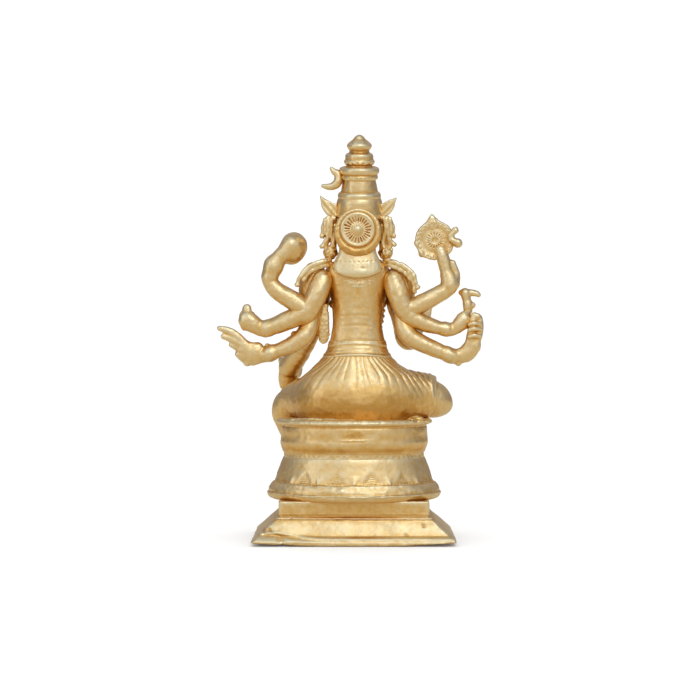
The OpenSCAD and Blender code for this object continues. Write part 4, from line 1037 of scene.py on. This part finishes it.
crest_lo, crest_hi = node_box("crown_crest")
crest_y = (crest_lo[1] + crest_hi[1]) / 2
crest = build(0.11, [plate([(-1 + x, 60.6 + z) for x, z in (
    (-2.4, 0), (2.4, 0), (2.9, 1.6), (2, 3.2), (1.2, 4.2), (0, 5.9), (-1.2, 4.2), (-2, 3.2), (-2.9, 1.6))],
    crest_y - 0.7, crest_y + 0.7, 0.3)])
crest.add(ball((-1, crest_y - 0.6, 62.4), (0.9, 0.45, 0.9)), 0.2)
crest.push(lambda p: 0.1 * np.cos(np.hypot(p[:, 0] + 1, p[:, 2] - 62.4) * 5), 0.6)
cast_piece("crown_crest", crest, "crown_brass", 0.04)

# ---- arms

shoulders = shrunk(torso_core, 0.15)


def arm(name, stations, bangle, hand, hand_blend=0.3, extra=()):
    """An arm that flows out of the shoulder, with a bangle at its wrist and its hand."""
    bands, hand, extra = as_shapes(bangle), as_shapes(hand), as_shapes(extra)
    clay = block(0.12, limb(stations), *bands, *hand, *extra).add(limb(stations))
    for shapes, blend in ((bands, 0.22), (hand, hand_blend), (extra, 0.2)):
        for shape in shapes:
            clay.add(shape, blend)
    clay.cut(shoulders)
    cast_piece("arm_" + name, clay, "skin_brass", 0.06, nodes=["arm_" + name, "hand_" + name])


arm("left_mid",
    [(5.9, 1.6, 48.6, 1.95), (6.6, 2.1, 46.9, 2.1), (7.6, 2.3, 44.6, 2.1), (8.9, 2.3, 42.6, 2.0),
     (10.6, 2.2, 41.9, 1.85), (12.6, 2.1, 41.1, 1.8), (15.1, 2, 40.1, 1.6), (17.5, 2, 39.6, 1.3)],
    [[(16.1, 2, 39.75, 1.65), (16.5, 2, 39.65, 1.65)]],
    [[(17.6, 2, 39.7, 1.2, 1.3), (18.8, 2.1, 40.5, 1.5, 1.7), (19.8, 2.1, 41.3, 1.45, 1.7)],
     ball((20.0, 1.9, 43.2), (0.85, 0.75, 1.05)),
     [(20.7, 1.9, 42.1, 0.6), (20.4, 0.8, 42.6, 0.58), (19.1, 0.5, 42.3, 0.5)],
     [(20.9, 1.9, 41.0, 0.6), (20.6, 0.6, 41.3, 0.58), (19.3, 0.3, 41.2, 0.5)],
     [(20.5, 1.9, 39.9, 0.58), (20.2, 0.7, 40.1, 0.55), (19.1, 0.4, 40.1, 0.5)]], 0.45)

arm("right_mid",
    [(-7.4, 1.4, 48.5, 2.0), (-7.9, 2.0, 46.9, 2.1), (-8.8, 2.3, 44.4, 1.95), (-9.9, 2.2, 42.5, 1.85),
     (-11.2, 2.1, 41.5, 1.75), (-13.2, 2, 40.6, 1.55), (-15.9, 2, 39.8, 1.3), (-18.2, 2, 39.3, 1.0)],
    [[(-16.9, 2, 39.6, 1.4), (-17.2, 2, 39.5, 1.4)]],
    [[(-18.4, 2, 39.4, 0.9, 1.0), (-19.4, 2, 40.1, 1.1, 1.3), (-20.4, 2, 41.3, 1.1, 1.4)],
     [(-20.7, 2.0, 42.3, 0.5, 0.6), (-21.6, 1.3, 42.9, 0.5, 0.6), (-21.6, 0.1, 42.9, 0.45)],
     [(-20.9, 2.1, 41.2, 0.5, 0.6), (-21.9, 1.3, 41.6, 0.5, 0.6), (-21.8, 0.0, 41.6, 0.45)],
     [(-20.7, 2.1, 40.1, 0.5, 0.6), (-21.7, 1.3, 40.4, 0.5, 0.6), (-21.5, 0.0, 40.5, 0.45)]], 0.4)

arm("left_high",
    [(9.0, 2.35, 43.3, 1.75), (10.8, 2.35, 44.5, 1.85), (12.8, 2.3, 45.7, 1.75), (14.5, 2.2, 46.9, 1.6),
     (15.8, 2.1, 48.7, 1.42), (15.5, 2.1, 50.1, 1.65), (15.0, 2.2, 51.4, 1.7)],
    [[(15.7, 2.1, 49.4, 1.62), (15.65, 2.1, 49.6, 1.62)]],
    [[(15.0, 2.2, 51.4, 1.65), (14.1, 2.3, 52.7, 1.5), (12.9, 2.3, 53.9, 1.6), (11.8, 2.2, 55.2, 1.7)],
     ball((11.25, 0.75, 55.0), 2.52), ball((11.75, 0.75, 53.8), 2.2)], 0.9)

arm("right_high",
    [(-9.4, 2.3, 42.9, 1.7), (-12.2, 2.3, 44.1, 1.7), (-15.2, 2.2, 45.7, 1.6), (-17.2, 2.1, 46.9, 1.55),
     (-17.9, 2.1, 47.7, 1.5), (-17.6, 2.1, 49.2, 1.35)],
    [[(-17.8, 2.1, 47.9, 1.66), (-17.85, 2.1, 48.15, 1.62)]],
    [[(-17.6, 2.1, 49.2, 1.3), (-17.2, 2.1, 50.5, 1.25), (-16.6, 2.2, 52.75, 1.2),
      (-16.1, 2.2, 54.2, 1.0)],
     [(-19.0, 2.0, 48.1, 0.7), (-19.1, 2.0, 49.9, 0.7), (-18.4, 2.1, 51.9, 0.55)]], 0.6)

arm("left_low",
    [(7.4, -0.3, 50.1, 2.05), (8.2, -0.2, 47.2, 2.15), (8.2, 0.4, 43.2, 1.9), (8.4, 1.3, 40.2, 1.75),
     (9.6, 1.9, 38.0, 1.75), (12.0, 2, 36.4, 1.55), (14.5, 2, 35.4, 1.35), (16.8, 2, 34.6, 1.2)],
    [[(15.4, 2, 35.1, 1.55), (15.8, 2, 34.95, 1.55)]],
    [[(17.0, 2, 34.7, 0.9, 1.3), (18.2, 2.1, 34.9, 0.9, 1.9), (19.2, 2.1, 34.9, 0.85, 2.15),
      (20.2, 2.1, 35.3, 0.8, 1.9)],
     ball((20.0, 2, 33.2), 0.6), ball((18.0, 1.8, 36.2), (0.9, 0.7, 0.9)),
     ball((11.2, 2, 38.6), 0.6), ball((16.2, 2, 36.4), 0.45),
     [(20.0, 2.2, 36.4, 0.6, 0.8), (22.9, 2.3, 38.9, 0.55, 0.78), (25.15, 2.3, 39.7, 0.45, 0.5)],
     [(19.4, 2.25, 35.5, 0.6, 0.75), (22.35, 2.35, 37.4, 0.55, 0.72),
      (24.4, 2.35, 38.2, 0.42, 0.55)],
     [(19.2, 2.2, 34.7, 0.6, 0.7), (21.4, 2.3, 35.9, 0.52, 0.66), (22.9, 2.3, 36.6, 0.4, 0.5)],
     [(19.0, 2.2, 34.1, 0.6, 0.65), (20.6, 2.3, 34.5, 0.5, 0.6), (21.8, 2.3, 34.8, 0.4, 0.45)]], 0.22)

arm("right_low",
    [(-8.6, -0.3, 50.0, 2.05), (-9.3, -0.2, 47.0, 2.15), (-9.1, 0.4, 43.0, 1.9), (-9.2, 1.2, 40.4, 1.8),
     (-10.2, 1.9, 38.5, 1.8), (-12.0, 2, 37.2, 1.65), (-15, 2, 35.8, 1.5), (-18.2, 2, 34.5, 1.2)],
    [[(-17.4, 2, 34.9, 1.5), (-17.7, 2, 34.7, 1.5)], [(-18.1, 2, 34.6, 1.4), (-18.3, 2, 34.5, 1.4)]],
    [[(-18.6, 2, 34.3, 1.0, 1.1), (-20.8, 2, 34.9, 1.1, 1.6), (-22.3, 2.1, 36.3, 1.0, 1.45)],
     ball((-19.5, 2, 33.1), 0.5),
     [(-21.6, 2.3, 37.0, 0.7, 0.9), (-22.0, 2.4, 38.8, 0.7, 0.95), (-22.2, 2.4, 40.4, 0.7, 0.9),
      (-22.5, 2.3, 42.0, 0.62, 0.75)],
     [(-22.7, 2.2, 36.7, 0.65, 0.75), (-23.3, 2.2, 38.6, 0.65, 0.8), (-23.5, 2.2, 40.3, 0.6, 0.75),
      (-23.4, 2.1, 41.7, 0.55, 0.62)],
     [(-22.4, 1.4, 37.0, 0.5, 0.6), (-23.0, 1.3, 38.8, 0.5, 0.55), (-23.2, 1.3, 40.6, 0.5),
      (-23.2, 1.4, 41.6, 0.42)],
     [(-20.6, 1.3, 36, 0.6), (-21.4, 1.0, 37.2, 0.5), (-22.2, 1.2, 38.2, 0.42)]], 0.45,
    extra=[*([(-21.5, 2.9, z, 0.4), (-22.4, 3.15, z + 0.25, 0.46), (-23.5, 2.7, z + 0.1, 0.42)]
             for z in (38.1, 39.4, 40.4)), ball((-23.1, 2.3, 41.9), 0.62)])

arm("left_front",
    [(6.3, -2.2, 48.6, 1.9), (6.5, -2.6, 45.5, 2.0), (7.4, -2.8, 41, 1.85), (8.8, -3.2, 37.6, 1.9),
     (10.4, -5.0, 35.0, 1.5, 1.9), (11.9, -6.8, 32.4, 1.2, 1.9)],
    [],
    [[(10.4, -5.2, 34.8, 1.9), (12.3, -7.2, 32.2, 1.95)],
     [(12.3, -7.2, 32.4, 0.9, 1.85), (12.5, -7.6, 30.8, 0.8, 1.8), (12.6, -7.9, 29.2, 0.8, 1.75)],
     [(11.8, -7.2, 32.4, 1, 1), (12, -8.2, 31.3, 1.1, 0.9), (12.3, -9.4, 30.4, 1.6, 0.7),
      (12.3, -10.8, 30.1, 1.5, 0.6)],
     [(11.3, -10.8, 30.1, 0.5), (10.7, -12.1, 30.5, 0.5), (10.4, -12.9, 31.5, 0.42)],
     [(12.3, -11, 30, 0.5), (12.3, -12.5, 30.3, 0.5), (12.3, -13.3, 31.3, 0.42)],
     [(13.1, -10.8, 30.1, 0.5), (13.5, -12.1, 30.5, 0.5), (13.7, -12.9, 31.5, 0.42)]])

arm("right_front",
    [(-7.1, -2.1, 48.6, 1.8), (-7.8, -2.4, 45.2, 1.9), (-9.2, -2.4, 40.6, 1.9), (-10, -2.6, 37.8, 2.1),
     (-11, -4.8, 37.4, 1.6), (-12, -6.8, 38.8, 1.15)],
    [[(-11.3, -5.5, 37.7, 1.55), (-11.5, -5.9, 37.95, 1.55)]],
    [[(-11.9, -6.6, 38.7, 0.8, 0.9), (-12.6, -7.3, 40.4, 0.8, 1.6), (-13.1, -7.45, 42, 0.7, 1.65)],
     [(-14.2, -7.5, 42.3, 0.46), (-14.7, -7.5, 43.8, 0.44), (-15.0, -7.5, 44.9, 0.36)],
     [(-13.45, -7.45, 42.6, 0.47), (-13.85, -7.45, 44.2, 0.44), (-14.1, -7.45, 45.5, 0.36)],
     [(-12.65, -7.4, 42.7, 0.46), (-12.95, -7.4, 44.3, 0.43), (-13.15, -7.4, 45.4, 0.36)],
     [(-11.85, -7.35, 42.4, 0.44), (-12, -7.35, 43.8, 0.41), (-12.1, -7.35, 44.8, 0.34)],
     [(-11.5, -7.3, 40.3, 0.5), (-11, -7.8, 41.3, 0.46), (-10.85, -8.2, 42.2, 0.4)]], 0.18)

# ---- held things

conch = build(0.11, [
    ball((11.4, -0.6, 55.3), (2.3, 2.2, 2.3)),
    [(11.4, -0.8, 55.5, 2.0), (11.4, -2.4, 55.8, 1.2), (11.4, -3.7, 56.1, 0.4)],
], 0.5)


def whorls(p):
    turn = np.arctan2(p[:, 2] - 55.4, p[:, 0] - 11.4)
    return 0.12 * np.cos(turn + p[:, 1] * 5.0) * (p[:, 1] < -0.4)


conch.push(whorls, 0.8)
cast_piece("conch", conch, "attribute_brass", 0.04)

club = build(0.09, [
    [(19.6, 1.0, 39.8, 0.5), (19.7, 1.0, 41, 0.5), (19.9, 1.2, 42.6, 0.5)],
    ball((19.95, 1.3, 43.5), 0.7)], 0.25)
cast_piece("club", club, "attribute_brass", 0.06)

bowl_lo, bowl_hi = node_box("bowl")
bowl_at = (bowl_lo + bowl_hi) / 2
bowl_r = (bowl_hi[0] - bowl_lo[0]) / 2 - 0.12
bowl_top = bowl_hi[2] - 0.1
bowl_deep = bowl_top - bowl_lo[2]
bowl = build(0.1, [
    ball((bowl_at[0], bowl_at[1], bowl_top - 0.55), (bowl_r, bowl_r, bowl_deep - 1.2)),
    stack(rings(bowl_lo[2], 0, (0, 1.15), (0.5, 1.05), (1.0, 0.9)), centre=bowl_at[:2])], 0.3)
bowl.cut(ball((bowl_at[0], bowl_at[1], bowl_top + 0.1), (bowl_r - 0.42, bowl_r - 0.42, bowl_deep - 1.4)), 0.1)
bowl.cut(stack([(bowl_top, 5.0), (bowl_top + 3, 5.0)], centre=bowl_at[:2], smooth=False), 0.15)
cast_piece("bowl", bowl, "attribute_brass", 0.04)

wheel_lo, wheel_hi = node_box("discus")
WHEEL = (wheel_lo + wheel_hi) / 2 - [0.1, 0, 0.2]
WHEEL_R = (wheel_hi[0] - wheel_lo[0]) / 2 - 0.2


def wheel_relief(rho, a):
    """A ring of ticks round the hub and a scalloped edge, on the back of the discus."""
    tick = -0.16 * np.clip(np.cos(17 * a + 1.2 * np.sin(2 * a)) * 1.6 - 0.5, 0, 1)
    scallop = -0.10 * np.clip(np.cos(21 * a + 0.8 * np.sin(3 * a)), 0, 1)
    return tick * np.clip((rho - 0.85) * 6, 0, 1) * np.clip((1.6 - rho) * 5, 0, 1) \
        + scallop * np.clip((rho - 2.75) * 5, 0, 1) * np.clip((3.4 - rho) * 5, 0, 1)


wheel = build(0.085, [disc(
    (WHEEL[0], WHEEL[1], WHEEL[2]),
    [(0, 0.26, -0.3), (0.35, 0.24, -0.3), (0.62, 0.4, -0.35), (0.95, 0.44, -0.4), (1.4, 0.38, -0.45),
     (2.3, 0.32, -0.4), (2.75, 0.42, -0.5), (3.1, 0.6, -0.6), (WHEEL_R - 0.1, 0.45, -0.45)], wheel_relief)])
cast_piece("discus", wheel, "attribute_brass", 0.035)


def flame(angle, root, length):
    """A flat flame out of the rim, its angle turned from straight up towards +X."""
    a = math.radians(angle)
    out = np.array([math.sin(a), 0, math.cos(a)])
    at = WHEEL + [0, 0.1, 0]
    return limb([(*(at + out * (WHEEL_R + length * along)), min(0.55, root * thin), root * thin)
                 for along, thin in ((-0.15, 1.0), (0.35, 0.58), (0.8, 0.24), (1.0, 0.1))])


rim_path = [(WHEEL[0] + WHEEL_R * math.cos(t), WHEEL[1] + 0.1, WHEEL[2] + WHEEL_R * math.sin(t), 0.5, 0.32)
            for t in np.linspace(0, 2 * math.pi, 25)]
flames = build(0.09, [limb(rim_path, steps=2), flame(7, 1.3, 1.5),
                      [(-18.85, 2.0, 58.0, 0.5), (-18.2, 2.0, 57.2, 0.6), (-18.3, 2.0, 56.2, 0.7),
                       (-19.4, 2.0, 55.6, 0.75)],
                      ball((-18.95, 2.0, 58.05), 0.6), ball((-19.45, 2.0, 55.55), 0.85),
                      flame(100, 0.6, 0.35), flame(137, 0.8, 0.6)], 0.3)


def flame_marks(p):
    a = np.arctan2(p[:, 2] - WHEEL[2], p[:, 0] - WHEEL[0])
    return 0.03 * np.cos(20 * a + 4 * drift(p, 1.4)) + 0.05 * cast(p, 0.6)


flames.push(flame_marks, 0.6)
cast_piece("discus_flames", flames, "attribute_brass", 0.03)

goad = build(0.09, [
    [(-20.9, 0.6, 40.4, 0.42), (-21.1, 0.8, 41.8, 0.6), (-21.3, 1.1, 43.2, 0.85),
     (-21.3, 1.2, 44.1, 0.95), (-21.1, 1.2, 44.9, 0.8), (-20.9, 1.2, 45.7, 0.85), (-20.8, 1.2, 46.3, 0.9)],
    [(-20.0, 1.2, 46.4, 0.4, 0.5), (-21.5, 1.2, 46.4, 0.5, 0.6), (-22.8, 1.2, 46.2, 0.5, 0.55),
     (-23.3, 1.2, 45.9, 0.4)],
    ball((-22.2, 1.2, 44.0), 0.6)], 0.3)
cast_piece("goad", goad, "attribute_brass", 0.06)


# ---- node helpers

def add_node(tree, kind, inputs=None, **settings):
    """A shader node; each input is given a value, or a socket to link from."""
    made = tree.nodes.new("ShaderNode" + kind)
    for name, value in settings.items():
        setattr(made, name, value)
    for name, value in (inputs or {}).items():
        if isinstance(value, bpy.types.NodeSocket):
            tree.links.new(value, made.inputs[name])
        else:
            made.inputs[name].default_value = value
    return made


def arithmetic(tree, operation, *values):
    return add_node(tree, "Math", dict(enumerate(values)), operation=operation).outputs[0]


def remapped(tree, value, spans):
    return add_node(tree, "MapRange", {"Value": value, **spans}).outputs["Result"]


def colour_ramp(tree, value, stops, interpolation="LINEAR"):
    """The colour of a ramp through (position, colour) stops."""
    made = add_node(tree, "ValToRGB", {"Fac": value})
    ramp = made.color_ramp
    ramp.interpolation = interpolation
    for end, (at, colour) in zip(ramp.elements, (stops[0], stops[-1])):
        end.position = at
        end.color = (*colour, 1)
    for at, colour in stops[1:-1]:
        ramp.elements.new(at).color = (*colour, 1)
    return made.outputs["Color"]


# ---- brass

# Ramp colours: painted shade, dark orange, in hollows; the brass itself; painted highlight, pale, on bumps.
SHADE_BRASS, BASE, HIGHLIGHT_BRASS = (0.68, 0.35, 0.04), (0.90, 0.57, 0.165), (0.97, 0.82, 0.50)
LACQUER = {"Metallic": 1.0, "Coat Weight": 1.0, "Coat IOR": 1.85, "Coat Roughness": 0.2}
# Sizes of the noise patterns, in millimetres.
SPECKLE, SMEAR, GRAIN, BRUSHING = 0.9, 1.6, 0.28, 0.5
# Painted shade: metal within this many millimetres of a point darkens it, by ambient occlusion.
OCCLUSION_REACH = 4.0
# The brushing pattern is squeezed along one slanting direction, which leaves strokes across it.
BRUSHED = {"Scale": (1.0, 1.0, 9.0), "Rotation": (0.2, 0.5, 0.1)}


def brass(name, rough, grain):
    """Satin brass with painted highlights, paler on its bumps, and painted shade, darker and yellower in its
    hollows and near other metal.
    """
    mat = bpy.data.materials.new(name)
    mat.use_nodes = True
    tree = mat.node_tree
    shader = tree.nodes["Principled BSDF"]
    for field, value in LACQUER.items():
        shader.inputs[field].default_value = value
    here = add_node(tree, "TexCoord").outputs["Object"]

    def noise(size, detail, at=here):
        values = {"Vector": at, "Scale": 1.0 / (size * MM), "Detail": detail}
        return add_node(tree, "TexNoise", values).outputs["Fac"]

    # Painted highlight and painted shade stored on the mesh, with a random speckle of tone added.
    painted_sheen_shade = add_node(tree, "Attribute", attribute_name="sheen_and_shade").outputs["Fac"]
    painted_sheen_shade = arithmetic(tree, "ADD", painted_sheen_shade, arithmetic(tree, "MULTIPLY_ADD", noise(SPECKLE, 4.0), 0.8, -0.4))
    # Painted shade where other metal is near, by ambient occlusion.
    occlusion_shade = add_node(tree, "AmbientOcclusion", {"Distance": OCCLUSION_REACH * MM}, samples=6).outputs["AO"]
    painted_sheen_shade = arithmetic(tree, "ADD", painted_sheen_shade, arithmetic(tree, "MULTIPLY_ADD", occlusion_shade, 1.5, -1.28))
    painted_sheen_shade = remapped(tree, painted_sheen_shade, {"From Min": -0.9, "From Max": 0.9})
    colour = colour_ramp(tree, painted_sheen_shade, [(0.12, SHADE_BRASS), (0.5, BASE), (0.9, HIGHLIGHT_BRASS)])
    tree.links.new(colour, shader.inputs["Base Color"])

    gloss = remapped(tree, noise(SMEAR, 5.0), {
        "From Min": 0.3, "From Max": 0.7, "To Min": rough - 0.06, "To Max": rough + 0.08})
    tree.links.new(gloss, shader.inputs["Roughness"])

    pits = add_node(tree, "Bump", {
        "Strength": grain, "Distance": 0.05 * MM, "Height": noise(GRAIN, 6.0)}).outputs["Normal"]
    slanted = add_node(tree, "Mapping", {"Vector": here, **BRUSHED}).outputs["Vector"]
    brushed = add_node(tree, "Bump", {
        "Strength": grain * 0.7, "Distance": 0.04 * MM, "Height": noise(BRUSHING, 3.0, slanted),
        "Normal": pits})
    tree.links.new(brushed.outputs["Normal"], shader.inputs["Normal"])
    return mat


# Roughness and strength of the grain for each slot.
SATIN = {"pedestal_brass": (0.36, 0.7), "lotus_brass": (0.34, 0.65), "skin_brass": (0.36, 0.55),
         "drapery_brass": (0.34, 0.65), "crown_brass": (0.34, 0.4), "ornament_brass": (0.34, 0.5),
         "attribute_brass": (0.34, 0.65)}
tones = {slot: brass(slot, *satin) for slot, satin in SATIN.items()}
for piece in pieces.values():
    piece.data.materials.append(tones[piece["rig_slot"]])

# ---- floor, light and camera

FLOOR_HALF = 1500 * MM
# The floor lies a hair, in metres, under the flat base.
FLOOR_DROP = 0.00002
FLOOR_GREY, FLOOR_GLOW = 0.9, 0.07
# What the brass mirrors of the floor: darker and warmer than the floor itself.
FLOOR_MIRRORED = (0.50, 0.425, 0.30, 1)
COOL = (0.86, 0.95, 1.0)
STATUE_MIDDLE = (0, 0, 40)
BACKDROP = 1.06
# What the brass mirrors of the room: a colour from -Y to +Y, a strength from the horizon upwards.
ROOM_COLOUR = [(0.0, (0.42, 0.34, 0.28)), (0.46, (0.3, 0.3, 0.31)), (1.0, (1.0, 1.0, 1.0))]
ROOM_STRENGTH = [(0.0, 0.57), (0.35, 0.84), (0.62, 1.08), (0.8, 0.74), (1.0, 0.34)]
LENS, SENSOR = 103.2, 36
CAMERA_AT = (0.75, 377, 45)
CAMERA_TILT = 1.43

scene = bpy.context.scene
floor_mesh = bpy.data.meshes.new("floor")
corners = [(FLOOR_HALF * x, FLOOR_HALF * y, 0) for x, y in ((-1, -1), (1, -1), (1, 1), (-1, 1))]
floor_mesh.from_pydata(corners, [], [(0, 1, 2, 3)])
floor = bpy.data.objects.new("floor", floor_mesh)
floor.location = (0, 0, -FLOOR_DROP)
scene.collection.objects.link(floor)
pale = bpy.data.materials.new("pale_floor")
pale.use_nodes = True
ground = pale.node_tree
matt = ground.nodes["Principled BSDF"]
matt.inputs["Base Color"].default_value = (FLOOR_GREY, FLOOR_GREY, FLOOR_GREY, 1)
matt.inputs["Emission Color"].default_value = (1, 1, 1, 1)
matt.inputs["Emission Strength"].default_value = FLOOR_GLOW
matt.inputs["Roughness"].default_value = 1.0
matt.inputs["Specular IOR Level"].default_value = 0.0
dim = add_node(ground, "BsdfDiffuse", {"Color": FLOOR_MIRRORED})
mirrored = add_node(ground, "LightPath").outputs["Is Glossy Ray"]
seen_as = add_node(ground, "MixShader", {"Fac": mirrored, 1: matt.outputs["BSDF"], 2: dim.outputs["BSDF"]})
ground.links.new(seen_as.outputs["Shader"], ground.nodes["Material Output"].inputs["Surface"])
floor_mesh.materials.append(pale)


def lamp(name, at, size, power, colour=(1, 1, 1)):
    """A rectangular lamp aimed at the middle of the statue."""
    data = bpy.data.lights.new(name, "AREA")
    data.shape = "RECTANGLE"
    data.size, data.size_y = (s * MM for s in size)
    data.energy = power * (MM * 1000) ** 2
    data.color = colour
    made = bpy.data.objects.new(name, data)
    made.location = Vector(at) * MM
    made.rotation_euler = (Vector(STATUE_MIDDLE) - Vector(at)).to_track_quat("-Z", "Y").to_euler()
    scene.collection.objects.link(made)


lamp("key", (-60, 200, 230), (160, 120), 0.075, COOL)
lamp("top", (20, 40, 300), (240, 240), 0.07, COOL)
lamp("left", (240, 160, 110), (70, 200), 0.03)

world = bpy.data.worlds.new("studio")
scene.world = world
world.use_nodes = True
room = world.node_tree
room.nodes.clear()
direction = add_node(room, "TexCoord").outputs["Generated"]
split = add_node(room, "SeparateXYZ", {"Vector": direction})
depth = remapped(room, split.outputs["Y"], {"From Min": -1.0, "From Max": 1.0})
room_strength = [(at, (level,) * 3) for at, level in ROOM_STRENGTH]
lit = add_node(room, "Background", {
    "Color": colour_ramp(room, depth, ROOM_COLOUR),
    "Strength": colour_ramp(room, split.outputs["Z"], room_strength, "EASE")})
seen = add_node(room, "Background", {"Color": (1, 1, 1, 1), "Strength": BACKDROP})
glossy = add_node(room, "LightPath").outputs["Is Glossy Ray"]
plain = arithmetic(room, "SUBTRACT", 1.0, glossy)
mix = add_node(room, "MixShader", {"Fac": plain, 1: lit.outputs["Background"], 2: seen.outputs["Background"]})
add_node(room, "OutputWorld", {"Surface": mix.outputs["Shader"]})

camera_data = bpy.data.cameras.new("camera")
camera_data.lens = LENS
camera_data.sensor_width = SENSOR
camera_data.clip_start = 0.01
camera_data.clip_end = 10
camera = bpy.data.objects.new("camera", camera_data)
camera.location = Vector(CAMERA_AT) * MM
camera.rotation_euler = (math.radians(90 - CAMERA_TILT), 0, math.radians(180))
scene.collection.objects.link(camera)
scene.camera = camera
scene.view_settings.view_transform = "Standard"
